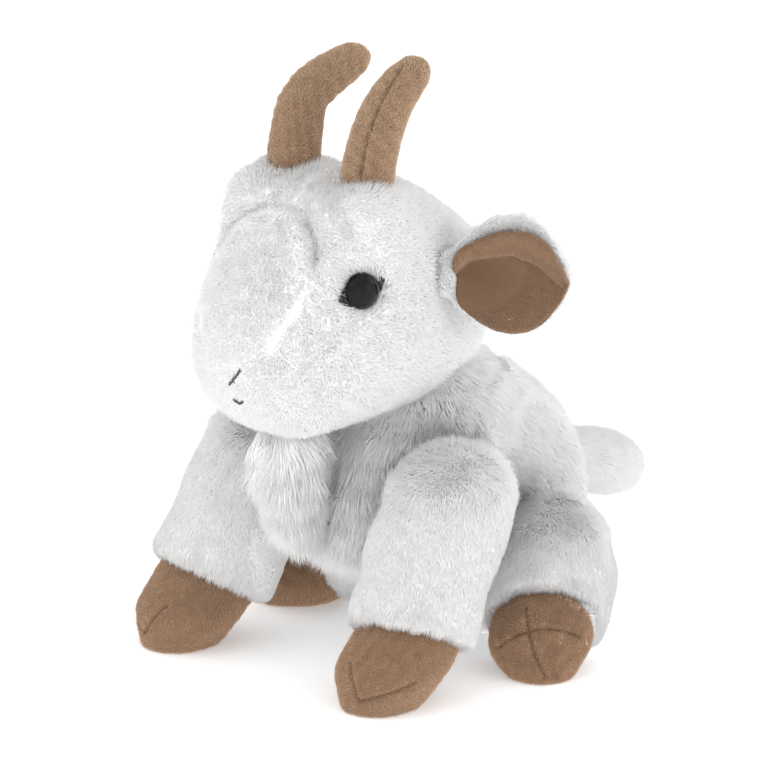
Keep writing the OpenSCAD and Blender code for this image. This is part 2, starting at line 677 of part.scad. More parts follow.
// ---- Hind legs ----
hip = [flank_x + gap + thigh_side_r - 2, hip_back, hip_z];
hindcuff = [flank_x + gap + thigh_side_r + hindcuff_out, hindcuff_back, hindcuff_z];
hindleg_keys = [
    [0, [hip.x - 1, hip.y + 18, hip.z - 9, 1.08 * thigh_r, 0.86 * thigh_side_r]],
    [0.4, [hip.x, hip.y - 3, hip.z - 9, 1.2 * thigh_r, thigh_side_r]],
    [0.74, [hindcuff.x - 7, hindcuff.y + 8, hindcuff.z + 6, 0.83 * thigh_r, 1.05 * thigh_side_r]],
    [1, [hindcuff.x, hindcuff.y, hindcuff.z, 0.685 * thigh_r, 1.03 * thigh_side_r]]
];
hindhoof_keys = [
    [0, [hindcuff.x + 0.76 * hindhoof_l, hindcuff.y - 0.74 * hindhoof_l, 0.66 * hoof_r,
        0.56 * hoof_r, 0.8 * hoof_side_r]],
    [0.3, [hindcuff.x + 0.52 * hindhoof_l, hindcuff.y - 0.5 * hindhoof_l, 0.69 * hoof_r,
        0.72 * hoof_r, 0.95 * hoof_side_r]],
    [0.65, [hindcuff.x + 0.22 * hindhoof_l, hindcuff.y - 0.2 * hindhoof_l, 0.81 * hoof_r,
        0.87 * hoof_r, hoof_side_r]],
    [1, [hindcuff.x - 0.7 * cuff_lap, hindcuff.y + 0.7 * cuff_lap, hindcuff_z - 0.5,
        0.9 * hoof_r, 0.9 * hoof_side_r]]
];

leg_segments = 20;
inner_rings = 5;
foreleg_rounding = 0.34;
hindleg_rounding = 0.45;
hoof_rounding = 0.3;
floor_low = sole_t + gap;
module leg_skin(side, keys, rounding) {
    color(white) placed() left_and_mirrored(side > 0)
        sock(keys, 9, inner_rings, leg_segments, plush_t, rounding, flank_x + gap, floor_low);
}
// A leg's filling runs from the closed top through the cuff to the toe.
module leg_stuffing(side, leg, hoof, rounding) {
    x_low = flank_x + gap;
    hoof_rings = nested_rings(hoof, inner_rings, leg_segments, velour_t, hoof_rounding, x_low, floor_low);
    color(fibre) placed() left_and_mirrored(side > 0) loft(
        [
            each nested_rings(leg, inner_rings, leg_segments, plush_t, rounding, x_low, floor_low),
            turned(path_ring(hoof, 1, leg_segments, velour_t + cuff_slack)),
            for (ring = reverse(hoof_rings)) turned(ring)
        ],
        nested_tip(leg, plush_t, x_low, floor_low),
        nested_tip(hoof, velour_t, x_low, floor_low)
    );
}
module foreleg_stuffing(side) {
    leg_stuffing(side, foreleg_keys, forehoof_keys, foreleg_rounding);
}
module hindleg_stuffing(side) {
    leg_stuffing(side, hindleg_keys, hindhoof_keys, hindleg_rounding);
}
module hoof_upper(side, keys) {
    color(tan) placed() left_and_mirrored(side > 0)
        sock(keys, 8, inner_rings, leg_segments, velour_t, hoof_rounding, flank_x + gap, floor_low);
}
module hoof_sole(side, keys) {
    // Two rounds of the hoof's own width, joined: the sole lies under the flat of the hoof.
    toe = place_of(smooth(keys, 0.3));
    heel = place_of(smooth(keys, 0.48));
    color(tan) placed() left_and_mirrored(side > 0) linear_extrude(height = sole_t) hull() {
        translate([toe.x, toe.y]) circle(r = 0.6 * hoof_side_r, $fn = 32);
        translate([heel.x, heel.y]) circle(r = 0.62 * hoof_side_r, $fn = 32);
    }
}

// ---- Tail ----
// The tail's round root bends about a line across the rump, just clear of the torso.
tail_f = 0.97;
tail_way = unit([0, 1, -0.3]);
tail_up = [0, -tail_way.z, tail_way.y];
function tail_root() =
    let (
        p = torso_point(tail_f, 90, 0),
        along = torso_point(tail_f + 0.005, 90, 0) - torso_point(tail_f - 0.005, 90, 0),
        n = unit([0, -along.z, along.y])
    )
    p + (tail_root_r + gap) * n;
function tail_tip() = tail_root() + tail_l * tail_way;
tail_sections = [
    [0, [1, 0.75]],
    [0.35, [1.32, 1]],
    [0.7, [1.35, 1]],
    [1, [1.1, 0.85]]
];
function tail_ring(s, inset, n) =
    let (
        shape = smooth(tail_sections, max(s, 0) / tail_l),
        k = s < 0 ? sqrt(max(0, 1 - (s / tail_root_r) ^ 2)) : end_round(tail_l - s - inset, 0.29 * tail_l)
    )
    [for (i = [0 : n - 1]) let (a = 360 * i / n)
        tail_root() + s * tail_way + (shape[0] * tail_root_r - inset) * k * cos(a) * tail_up
        + (shape[1] * tail_side_r - inset) * k * sin(a) * [1, 0, 0]];
module tail_solid(low, inset, count, segments) {
    high = tail_l - inset;
    loft(
        [for (t = both_ends(count, 0, 1)) tail_ring(low + (high - low) * t, inset, segments)],
        tail_root() + low * tail_way,
        tail_root() + high * tail_way
    );
}
module tail_skin() {
    // The outer wall runs from the tip to the rounded root, the hollow is the filling's own shape
    color(white) placed() difference() {
        tail_solid(-tail_root_r, 0, 11, 20);
        tail_solid(0, plush_t, 8, 20);
    }
}
module tail_stuffing() {
    color(fibre) placed() tail_solid(plush_t, plush_t + gap, 8, 12);
}

torso_skin();
torso_stuffing();
bean_pouch();
seat_panel();
neck_stuffing();
neck_seam();
head_skin();
head_stuffing();
beard();
mouth_stitch();
eye(1);  // left_eye
eye(-1);  // right_eye
eye_washer(1);  // left_eye_washer
eye_washer(-1);  // right_eye_washer
eye_patch(1);  // left_eye_patch
eye_patch(-1);  // right_eye_patch
nostril_stitch(1);  // left_nostril_stitch
nostril_stitch(-1);  // right_nostril_stitch
horn_skin(1);  // left_horn_skin
horn_skin(-1);  // right_horn_skin
horn_stuffing(1);  // left_horn_stuffing
horn_stuffing(-1);  // right_horn_stuffing
ear_back(1);  // left_ear_back
ear_back(-1);  // right_ear_back
ear_lining(1);  // left_ear_lining
ear_lining(-1);  // right_ear_lining
leg_skin(1, foreleg_keys, foreleg_rounding);  // left_foreleg_skin
leg_skin(-1, foreleg_keys, foreleg_rounding);  // right_foreleg_skin
foreleg_stuffing(1);  // left_foreleg_stuffing
foreleg_stuffing(-1);  // right_foreleg_stuffing
hoof_upper(1, forehoof_keys);  // left_forehoof_upper
hoof_upper(-1, forehoof_keys);  // right_forehoof_upper
hoof_sole(1, forehoof_keys);  // left_forehoof_sole
hoof_sole(-1, forehoof_keys);  // right_forehoof_sole
leg_skin(1, hindleg_keys, hindleg_rounding);  // left_hindleg_skin
leg_skin(-1, hindleg_keys, hindleg_rounding);  // right_hindleg_skin
hindleg_stuffing(1);  // left_hindleg_stuffing
hindleg_stuffing(-1);  // right_hindleg_stuffing
hoof_upper(1, hindhoof_keys);  // left_hindhoof_upper
hoof_upper(-1, hindhoof_keys);  // right_hindhoof_upper
hoof_sole(1, hindhoof_keys);  // left_hindhoof_sole
hoof_sole(-1, hindhoof_keys);  // right_hindhoof_sole
tail_skin();
tail_stuffing();
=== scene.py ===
"""A white plush goat soft toy with tan velour horns, ear linings and hooves, dressed over its CAD frame."""

import json
import math

import bmesh
import bpy
import numpy as np
from mathutils import Matrix, Vector
from mathutils.bvhtree import BVHTree

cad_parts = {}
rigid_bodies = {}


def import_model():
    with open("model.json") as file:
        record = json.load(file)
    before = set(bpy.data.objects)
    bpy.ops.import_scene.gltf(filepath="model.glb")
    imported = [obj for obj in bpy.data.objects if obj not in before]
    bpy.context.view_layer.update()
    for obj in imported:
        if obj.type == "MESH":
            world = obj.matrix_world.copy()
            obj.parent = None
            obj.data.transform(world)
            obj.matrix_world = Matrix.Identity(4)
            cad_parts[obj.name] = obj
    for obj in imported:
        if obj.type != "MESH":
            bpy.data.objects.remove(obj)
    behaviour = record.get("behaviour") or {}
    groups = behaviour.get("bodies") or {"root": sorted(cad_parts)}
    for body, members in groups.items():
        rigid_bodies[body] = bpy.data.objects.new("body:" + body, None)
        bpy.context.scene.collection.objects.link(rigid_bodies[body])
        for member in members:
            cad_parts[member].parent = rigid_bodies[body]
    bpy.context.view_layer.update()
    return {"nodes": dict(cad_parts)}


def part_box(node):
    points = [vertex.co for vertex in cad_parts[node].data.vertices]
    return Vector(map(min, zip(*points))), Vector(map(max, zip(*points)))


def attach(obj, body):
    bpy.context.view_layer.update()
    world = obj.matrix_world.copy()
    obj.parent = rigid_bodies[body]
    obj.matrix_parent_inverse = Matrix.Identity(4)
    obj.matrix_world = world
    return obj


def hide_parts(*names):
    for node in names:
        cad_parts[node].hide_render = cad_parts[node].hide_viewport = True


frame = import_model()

NODES = frame["nodes"]
MM = 0.001

# ---- Image points, in the photograph's frame ----
W = H = 768
EYE = (363, 289)
NOSTRIL_TOP = (242, 368)
NOSTRIL_LOW = (229, 385)
MOUTH = (236, 401)
PAD_ARCH = (288, 202)
PAD_SIDE = (315, 252)
HORN_SEAM_TOP = (402, 68)
HORN_SEAM_LOW = (361, 175)
TOE_TOP = (351, 664)
TOE_CORNER = (360, 701)
TOE_END = (415, 683)
REAR_SLIT_TOP = (526, 606)
REAR_SLIT_LOW = (545, 677)
REAR_SEAM_LEFT = (498, 648)
REAR_SEAM_RIGHT = (580, 637)

# ---- Camera ----
CAM_AZIMUTH = math.radians(45.8)
CAM_ELEVATION = math.radians(15.4)
CAM_DISTANCE = 2.5
CAM_SENSOR = 36.0
PX_PER_M = 2925
CAM_LENS = PX_PER_M * CAM_DISTANCE * CAM_SENSOR / W
AIM_CENTRE = Vector((0, 0, 0.1))
AIM = (-0.0168, -0.0115)  # right and up of that centre, across the view


def camera_axes():
    """Right, up and back of the camera."""
    sa, ca = math.sin(CAM_AZIMUTH), math.cos(CAM_AZIMUTH)
    se, ce = math.sin(CAM_ELEVATION), math.cos(CAM_ELEVATION)
    return Vector((ca, sa, 0)), Vector((-sa * se, ca * se, ce)), Vector((sa * ce, -ca * ce, se))


def make_camera():
    right, up, back = camera_axes()
    data = bpy.data.cameras.new("camera")
    data.lens = CAM_LENS
    data.sensor_width = CAM_SENSOR
    data.sensor_fit = "AUTO"
    data.clip_end = 20
    camera = bpy.data.objects.new("camera", data)
    place = AIM_CENTRE + right * AIM[0] + up * AIM[1] + back * CAM_DISTANCE
    camera.matrix_world = Matrix.Translation(place) @ Matrix((right, up, back)).transposed().to_4x4()
    bpy.context.scene.collection.objects.link(camera)
    bpy.context.scene.camera = camera
    bpy.context.view_layer.update()
    return camera


CAMERA = make_camera()


def image_ray(point):
    """Origin and direction, in the frame, of the ray through an image point."""
    data = CAMERA.data
    long_side = max(W, H)
    across = point[0] - W / 2 + data.shift_x * long_side
    upward = H / 2 - point[1] + data.shift_y * long_side
    ray = Vector((across, upward, -long_side * data.lens / data.sensor_width))
    return CAMERA.matrix_world.translation.copy(), (CAMERA.matrix_world.to_3x3() @ ray).normalized()


def to_image(points):
    """Image x and y of points in the frame."""
    data = CAMERA.data
    inverse = np.array(CAMERA.matrix_world.inverted())
    local = np.asarray(points) @ inverse[:3, :3].T + inverse[:3, 3]
    scale = max(W, H) * data.lens / data.sensor_width / -local[:, 2]
    x = W / 2 - data.shift_x * max(W, H) + local[:, 0] * scale
    y = H / 2 + data.shift_y * max(W, H) - local[:, 1] * scale
    return np.stack([x, y], axis=1)


def on_surface(tree, point):
    """Place and normal where an image point meets a surface; a miss takes the place nearest the ray."""
    origin, ray = image_ray(point)
    hit, normal, _, _ = tree.ray_cast(origin, ray)
    if hit is not None:
        return hit, normal
    reach = CAM_DISTANCE
    for _ in range(12):
        hit, normal, _, _ = tree.find_nearest(origin + ray * reach)
        reach = (hit - origin).dot(ray)
    return hit, normal


# ---- Meshes ----
def vertex_values(mesh, what):
    out = np.empty(len(mesh.vertices) * 3)
    mesh.vertices.foreach_get(what, out)
    return out.reshape(-1, 3)


def triangles_of(mesh):
    mesh.calc_loop_triangles()
    out = np.empty(len(mesh.loop_triangles) * 3, np.int32)
    mesh.loop_triangles.foreach_get("vertices", out)
    return out.reshape(-1, 3)


def node_arrays(name):
    """Corners and triangles of a CAD node."""
    node = NODES[name]
    triangles = triangles_of(node.data)
    world = np.array(node.matrix_world)
    return vertex_values(node.data, "co") @ world[:3, :3].T + world[:3, 3], triangles


def joined(names):
    """Several CAD nodes as one set of corners and triangles."""
    corners, triangles, count = [], [], 0
    for name in names:
        c, t = node_arrays(name)
        corners.append(c)
        triangles.append(t + count)
        count += len(c)
    return np.concatenate(corners), np.concatenate(triangles)


def mesh_object(name, corners, faces, materials=(), slots=None):
    """A new object from arrays; faces has three or four corners to a row."""
    mesh = bpy.data.meshes.new(name)
    corners = np.ascontiguousarray(corners, np.float32)
    faces = np.ascontiguousarray(faces, np.int32)
    sides = faces.shape[1]
    mesh.vertices.add(len(corners))
    mesh.vertices.foreach_set("co", corners.ravel())
    mesh.loops.add(faces.size)
    mesh.loops.foreach_set("vertex_index", faces.ravel())
    mesh.polygons.add(len(faces))
    mesh.polygons.foreach_set("loop_start", np.arange(0, faces.size, sides, dtype=np.int32))
    mesh.polygons.foreach_set("use_smooth", np.ones(len(faces), bool))
    for used in materials:
        mesh.materials.append(used)
    if slots is not None:
        mesh.polygons.foreach_set("material_index", np.ascontiguousarray(slots, np.int32))
    mesh.update(calc_edges=True)
    mesh.validate()
    obj = bpy.data.objects.new(name, mesh)
    bpy.context.scene.collection.objects.link(obj)
    return obj


def applied(obj):
    """Turns an object's modifiers into its mesh."""
    graph = bpy.context.evaluated_depsgraph_get()
    mesh = bpy.data.meshes.new_from_object(obj.evaluated_get(graph))
    old = obj.data
    obj.modifiers.clear()
    obj.data = mesh
    bpy.data.meshes.remove(old)
    mesh.name = obj.name
    mesh.polygons.foreach_set("use_smooth", np.ones(len(mesh.polygons), bool))
    return obj


def remeshed(obj, voxel, smoothing, material_used):
    remesh = obj.modifiers.new("remesh", "REMESH")
    remesh.mode = "VOXEL"
    remesh.voxel_size = voxel
    smooth = obj.modifiers.new("smooth", "SMOOTH")
    smooth.factor = 0.5
    smooth.iterations = smoothing
    applied(obj)
    if not obj.data.materials:
        obj.data.materials.append(material_used)
    return obj


def soft_form(name, nodes, voxel, smoothing, material_used):
    """One closed soft form round some CAD nodes."""
    return remeshed(mesh_object(name, *joined(nodes), [material_used]), voxel, smoothing, material_used)


def coords(obj):
    return vertex_values(obj.data, "co")


def normals(obj):
    return vertex_values(obj.data, "normal")


def set_coords(obj, corners):
    obj.data.vertices.foreach_set("co", np.ascontiguousarray(corners, np.float32).ravel())
    obj.data.update()


def unit(v):
    return v / np.maximum(np.linalg.norm(v, axis=-1, keepdims=True), 1e-9)


def wobble(points, wavelength, seed, waves=7):
    """A smooth random field of directions, -1 to 1."""
    rng = np.random.default_rng(seed)
    out = np.zeros((len(points), 3))
    for _ in range(waves):
        way = unit(rng.normal(size=3)) * 2 * math.pi / (wavelength * rng.uniform(0.7, 1.5))
        turn = rng.uniform(0, 2 * math.pi, 3)
        push = rng.normal(size=3)
        out += push * np.sin((points @ way)[:, None] + turn)
    return out / math.sqrt(waves)


def tree_of(obj):
    return BVHTree.FromPolygons(coords(obj).tolist(), triangles_of(obj.data).tolist())


def tree_of_nodes(*names):
    corners, triangles = joined(names)
    return BVHTree.FromPolygons(corners.tolist(), triangles.tolist())


def distances(tree, points, reach):
    """Distance from each point to a surface, no more than reach."""
    out = np.full(len(points), reach)
    for i, p in enumerate(points):
        hit = tree.find_nearest(p, reach)
        if hit[0] is not None:
            out[i] = hit[3]
    return out


def line_distance(points, line):
    """Distance from each point to a line of straight stretches."""
    best = np.full(len(points), 1.0)
    for a, b in zip(line[:-1], line[1:]):
        a, b = np.array(a), np.array(b)
        way = b - a
        along = np.clip((points - a) @ way / max(way @ way, 1e-12), 0, 1)
        best = np.minimum(best, np.linalg.norm(points - a - along[:, None] * way, axis=1))
    return best


# ---- Materials ----
def material(name, colour, roughness, sheen=0.0, sheen_roughness=0.5, sheen_tint=(1, 1, 1)):
    made = bpy.data.materials.new(name)
    made.use_nodes = True
    shader = made.node_tree.nodes["Principled BSDF"]
    shader.inputs["Base Color"].default_value = (*colour, 1)
    shader.inputs["Roughness"].default_value = roughness
    shader.inputs["Sheen Weight"].default_value = sheen
    shader.inputs["Sheen Roughness"].default_value = sheen_roughness
    shader.inputs["Sheen Tint"].default_value = (*sheen_tint, 1)
    shader.inputs["Specular IOR Level"].default_value = 0.2
    return made


def darkened_by_seams_and_shade(made, dark):
    """Darkens a material's colour where its mesh stores a sewn line, and where it stores painted shade."""
    tree = made.node_tree
    shader = tree.nodes["Principled BSDF"]
    colour = shader.inputs["Base Color"].links[0].from_socket
    # The seam attribute holds dark sewn lines, and on the ear's lining it holds painted shade.
    stored = tree.nodes.new("ShaderNodeAttribute")
    stored.attribute_name = "seam"
    mix = tree.nodes.new("ShaderNodeMix")
    mix.data_type = "RGBA"
    mix.inputs["B"].default_value = (*dark, 1)
    tree.links.new(stored.outputs["Fac"], mix.inputs["Factor"])
    tree.links.new(colour, mix.inputs["A"])
    tree.links.new(mix.outputs["Result"], shader.inputs["Base Color"])
    return made


def mottled(made, low, high, scale, bump_scale, bump, detail=4.0):
    """Colour mottling between two colours and a fine nap in a material."""
    tree = made.node_tree
    shader = tree.nodes["Principled BSDF"]
    place = tree.nodes.new("ShaderNodeTexCoord")
    noise = tree.nodes.new("ShaderNodeTexNoise")
    noise.inputs["Scale"].default_value = scale
    noise.inputs["Detail"].default_value = detail
    noise.inputs["Roughness"].default_value = 0.6
    ramp = tree.nodes.new("ShaderNodeValToRGB")
    ramp.color_ramp.elements[0].position = 0.32
    ramp.color_ramp.elements[1].position = 0.68
    ramp.color_ramp.elements[0].color = (*low, 1)
    ramp.color_ramp.elements[1].color = (*high, 1)
    nap = tree.nodes.new("ShaderNodeTexNoise")
    nap.inputs["Scale"].default_value = bump_scale
    nap.inputs["Detail"].default_value = 3
    relief = tree.nodes.new("ShaderNodeBump")
    relief.inputs["Strength"].default_value = bump
    relief.inputs["Distance"].default_value = 0.4 * MM
    link = tree.links.new
    link(place.outputs["Object"], noise.inputs["Vector"])
    link(place.outputs["Object"], nap.inputs["Vector"])
    link(noise.outputs["Fac"], ramp.inputs["Fac"])
    link(ramp.outputs["Color"], shader.inputs["Base Color"])
    link(nap.outputs["Fac"], relief.inputs["Height"])
    link(relief.outputs["Normal"], shader.inputs["Normal"])
    return made


WHITE = (0.93, 0.93, 0.925)
PLUSH_BASE = mottled(
    material("plush_backing", WHITE, 0.95, 0.3), WHITE, (0.96, 0.96, 0.955), scale=260, bump_scale=1500, bump=0.4)
PILE = [
    material("pile_white", (0.985, 0.985, 0.985), 0.9, 0.2, 0.6),
    material("pile_cool", (0.968, 0.973, 0.983), 0.9, 0.2, 0.6),
    material("pile_warm", (0.98, 0.978, 0.972), 0.9, 0.2, 0.6),
]
TAN_SHEEN = (0.95, 0.87, 0.78)


def velour(name, colour, low, high, seam):
    """Tan velour, mottled between two colours and darker along its sewn lines, and on the ear's lining in its
    painted shade.
    """
    made = material(name, colour, 0.92, 0.25, 0.4, TAN_SHEEN)
    mottled(made, low, high, scale=420, bump_scale=2600, bump=0.9, detail=6.0)
    return darkened_by_seams_and_shade(made, seam)


def nap_shades(piece, dark, tan, light):
    """Three shades of nap for a velour piece."""
    shades = (("dark", dark), ("tan", tan), ("light", light))
    return [material(f"{piece}_nap_{shade}", colour, 0.9, 0.25, 0.5, TAN_SHEEN) for shade, colour in shades]


TAN = velour(
    "tan_velour", (0.24, 0.15, 0.092), (0.205, 0.125, 0.075), (0.255, 0.160, 0.098), seam=(0.10, 0.060, 0.036))
# The lining is a darker copy of the tan velour: painted shade for the inside of the ear. Its seam colour is the
# painted shade deep in the cup.
SHADED_LINING = velour(
    "tan_lining_shaded", (0.17, 0.104, 0.062), (0.22, 0.132, 0.078), (0.27, 0.166, 0.101), seam=(0.132, 0.075, 0.043))
# The ear's nap is darker than the hoof's and the horn's: painted shade for the inside of the ear.
EAR_NAP_SHADED = nap_shades("ear", (0.275, 0.167, 0.102), (0.345, 0.214, 0.132), (0.425, 0.27, 0.172))
HOOF_NAP = nap_shades("hoof", (0.415, 0.256, 0.158), (0.50, 0.314, 0.196), (0.595, 0.383, 0.246))
HORN_NAP = nap_shades("horn", (0.53, 0.365, 0.24), (0.635, 0.447, 0.30), (0.74, 0.535, 0.365))
THREAD = mottled(
    material("stitch_thread", (0.06, 0.056, 0.052), 0.7),
    (0.035, 0.033, 0.031), (0.09, 0.085, 0.08), scale=900, bump_scale=3000, bump=0.8)
EYE_BLACK = material("eye_gloss", (0.006, 0.006, 0.007), 0.08)
FELT = mottled(
    material("black_felt", (0.02, 0.02, 0.02), 0.95, 0.2),
    (0.012, 0.012, 0.012), (0.035, 0.033, 0.032), scale=500, bump_scale=2500, bump=1)
WASHER = mottled(
    material("washer_moulded", (0.4, 0.4, 0.4), 0.5),
    (0.36, 0.36, 0.36), (0.44, 0.44, 0.44), scale=200, bump_scale=900, bump=0.2)


# ---- Fur ----
def surface_samples(obj, count, rng):
    """Points spread evenly over a mesh, with their normals."""
    corners, ups = coords(obj), normals(obj)
    triangles = triangles_of(obj.data)
    a, b, c = (corners[triangles[:, i]] for i in range(3))
    area = np.linalg.norm(np.cross(b - a, c - a), axis=1)
    edges = np.cumsum(area) / area.sum()
    # Even steps through the area with a little jitter keep bare spots away
    pick = np.searchsorted(edges, (np.arange(count) + rng.random(count)) / count)
    pick = np.minimum(pick, len(triangles) - 1)
    u, v = rng.random(count), rng.random(count)
    flip = u + v > 1
    u[flip], v[flip] = 1 - u[flip], 1 - v[flip]
    w = 1 - u - v

    def mix(values):
        a, b, c = (values[triangles[pick, i]] for i in range(3))
        return w[:, None] * a + u[:, None] * b + v[:, None] * c

    return mix(corners), unit(mix(ups))


THIRDS = (0, 2 * math.pi / 3, 4 * math.pi / 3)  # of a turn: each hair has three sides


def square_to(ways, rng):
    """Two directions square to each hair and to each other, turned at random."""
    side = unit(np.cross(ways, unit(rng.normal(size=ways.shape))))
    return side, np.cross(ways, side)


def ring(places, side, other, widths):
    """Three corners round each place."""
    return [places + (side * math.cos(turn) + other * math.sin(turn)) * (widths / 2)[:, None] for turn in THIRDS]


def hairs(name, rows, pattern, materials, rng):
    """One mesh of many closed hairs; rows has their corners in order, pattern the faces of one hair."""
    corners = np.stack(rows, axis=1)
    count, each = corners.shape[:2]
    faces = (np.arange(count)[:, None, None] * each + np.array(pattern)[None]).reshape(-1, 3)
    slots = np.repeat(rng.integers(0, len(materials), count), len(pattern))
    return mesh_object(name, corners.reshape(-1, 3), faces, materials, slots)


def strands(name, roots, ways, lengths, widths, bends, materials, rng, sink=0.4 * MM):
    """Closed, tapered strands of two straight stretches; bends turns the outer stretch."""
    side, other = square_to(ways, rng)
    knee = roots + ways * (0.5 * lengths)[:, None]
    tip = knee + unit(ways + bends) * (0.55 * lengths)[:, None]
    foot_ring = ring(roots - ways * sink, side, other, widths)
    knee_ring = ring(knee, side, other, 0.75 * widths)
    pattern = [[2, 1, 0]]
    for i in range(3):
        j = (i + 1) % 3
        pattern += [[i, j, 3 + j], [i, 3 + j, 3 + i], [3 + i, 3 + j, 6]]
    return hairs(name, [*foot_ring, *knee_ring, tip], pattern, materials, rng)


def tufts(name, roots, ways, lengths, widths, materials, rng, sink=0.3 * MM):
    """Closed three-sided spikes, for the short pile."""
    foot_ring = ring(roots - ways * sink, *square_to(ways, rng), widths)
    pattern = [[2, 1, 0], [0, 1, 3], [1, 2, 3], [2, 0, 3]]
    return hairs(name, [*foot_ring, roots + ways * lengths[:, None]], pattern, materials, rng)


CLUMPING, SCATTER = 0.22, 0.14  # how far clumps and single hairs stray from the comb
LEAST_RISE = 0.22  # no hair lies flatter than this against the backing
UNEVEN = 0.16  # of the length, from clump to clump


def fur(name, skin, count, length, width, comb, keep=None, seed=1, lean=0.5, clump=7 * MM, materials=PILE,
        fringe=None):
    """Pile over a skin. comb gives the way each hair leans, keep says where hair grows, 0 to 1, and fringe
    pulls it aside and lengthens it in places."""
    rng = np.random.default_rng(seed)
    roots, ups = surface_samples(skin, count, rng)
    share = np.ones(len(roots))
    if keep is not None:
        share = keep(roots, ups)
        grows = share > 0.02
        roots, ups, share = roots[grows], ups[grows], share[grows]
    stray = CLUMPING * wobble(roots, clump, seed)
    ways = ups + lean * comb(roots) + stray + SCATTER * rng.normal(size=roots.shape)
    if fringe is not None:
        pull, extra = fringe(roots)
        ways = ways + pull
        share = share * extra
    ways = unit(ways)
    rise = np.sum(ways * ups, axis=1)
    ways = unit(ways + ups * np.maximum(LEAST_RISE - rise, 0)[:, None])
    clumped = 1 + UNEVEN * wobble(roots, clump * 0.8, seed + 50)[:, 0]
    reach = length * share * clumped * rng.uniform(0.75, 1.2, len(roots))
    reach = np.clip(reach, 0.3 * length * share, 1.5 * length)
    return tufts(name, roots, ways, reach, np.full(len(roots), width), materials, rng)


def directions(points, x, y, z):
    """A direction at each point, from parts that are numbers or vary from point to point."""
    return np.stack([np.broadcast_to(part, len(points)) for part in (x, y, z)], axis=1).astype(float)


def one_way(way):
    """A comb that leans every hair the same way."""
    return lambda points: np.tile(unit(np.array(way, float)), (len(points), 1))


NAP_LENGTH, NAP_WIDTH, NAP_CLUMP, NAP_LEAN = 0.75 * MM, 0.3 * MM, 5 * MM, 0.7


def nap(name, velour_form, count, lines, way, seed, materials):
    """The short nap that stands on a velour piece, parted along its sewn lines."""
    def keep(points, ups):
        share = np.ones(len(points))
        for line in lines:
            share *= 1 - 0.9 * np.exp(-(line_distance(points, line) / (0.7 * MM)) ** 2)
        return share

    return fur(name, velour_form, count, NAP_LENGTH, NAP_WIDTH, one_way(way), keep, seed=seed, lean=NAP_LEAN,
               clump=NAP_CLUMP, materials=materials)


def centre(node):
    low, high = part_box(node)
    return (np.array(low) + np.array(high)) / 2


def dress(obj, body, slot_name, *nodes, fill=None):
    """Puts a finished piece on the body it rides on, and hides the CAD nodes it stands for."""
    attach(obj, body)
    if nodes:
        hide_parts(*nodes)
    return obj


def coats(name, body, skin, seeds, **pile):
    """Two coats of pile over one skin, since a single mesh of it would have too many faces."""
    for coat, seed in zip(("undercoat", "topcoat"), seeds):
        dress(fur(f"{name}_{coat}", skin, seed=seed, **pile), body, "white_plush")


def store_seams_and_shade(obj, shade):
    """Stores how dark each place is, for the velour material: dark sewn lines, and painted shade in the ear's
    cup.
    """
    values = obj.data.attributes.get("seam") or obj.data.attributes.new("seam", "FLOAT", "POINT")
    values.data.foreach_set("value", np.clip(shade, 0, 1).astype(np.float32))


def sewn(obj, lines, depth=0.9 * MM, width=0.75 * MM, pucker=0.22 * MM, pitch=2.6 * MM):
    """Sewn lines: a narrow groove with a swell and small puckers beside it, and its shade."""
    corners, ups = coords(obj), normals(obj)
    push, shade = np.zeros(len(corners)), np.zeros(len(corners))
    for line in lines:
        d = line_distance(corners, line)
        along = (corners - np.array(line[0])) @ unit(np.array(line[-1]) - np.array(line[0]))
        push -= depth * np.exp(-(d / width) ** 2)
        push += 0.35 * depth * np.exp(-((d - 2.6 * width) / (1.6 * width)) ** 2)
        push += pucker * np.exp(-(d / (3.4 * width)) ** 2) * np.sin(2 * math.pi * along / pitch)
        shade = np.maximum(shade, np.exp(-(d / (0.7 * width)) ** 2))
    set_coords(obj, corners + ups * push[:, None])
    store_seams_and_shade(obj, shade)


def mirrored(points):
    return [Vector((-p[0], p[1], p[2])) for p in points]


def traced(tree, first, last, bow=0.0, count=12):
    """A line on a surface between two image points; bow is how far its middle stands off to the left."""
    first, last = np.array(first, float), np.array(last, float)
    across = unit(np.array([last[1] - first[1], first[0] - last[0]]))
    line = []
    for t in np.linspace(0, 1, count):
        place = first + (last - first) * t + across * bow * PX_PER_M * 4 * t * (1 - t)
        line.append(on_surface(tree, tuple(place))[0])
    return line


def bump(points, at, radius):
    """1 at a place, falling softly to 0 round it."""
    return np.exp(-np.sum((points - np.array(at)) ** 2, axis=1) / radius ** 2)


def thread(name, places, radius, material_used):
    """A twisted sewing thread along a line, closed at both ends."""
    places = np.array([list(p) for p in places])
    t = np.linspace(0, 1, len(places))
    fine = np.linspace(0, 1, 4 * len(places))
    path = np.stack([np.interp(fine, t, places[:, i]) for i in range(3)], axis=1)
    way = unit(np.gradient(path, axis=0))
    side = unit(np.cross(way, [0.2, 0.4, 0.9]))
    other = np.cross(way, side)
    sides = 8
    corners = []
    for i in range(len(path)):
        ends = min(1.0, 0.35 + min(i, len(path) - 1 - i) * 0.35)
        for k in range(sides):
            a = 2 * math.pi * k / sides
            twist = 1 + 0.16 * math.cos(2 * (a + 1.1 * i))
            corners.append(path[i] + (side[i] * math.cos(a) + other[i] * math.sin(a)) * radius * ends * twist)
    faces = []
    for i in range(len(path) - 1):
        for k in range(sides):
            n = (k + 1) % sides
            faces.append([i * sides + k, i * sides + n, (i + 1) * sides + n, (i + 1) * sides + k])
    count = len(corners)
    corners += [path[0], path[-1]]
    last = (len(path) - 1) * sides
    for k in range(0, sides, 2):
        faces.append([count, (k + 2) % sides, (k + 1) % sides, k])
        faces.append([count + 1, last + k, last + (k + 1) % sides, last + (k + 2) % sides])
    return mesh_object(name, np.array(corners), np.array(faces), [material_used])


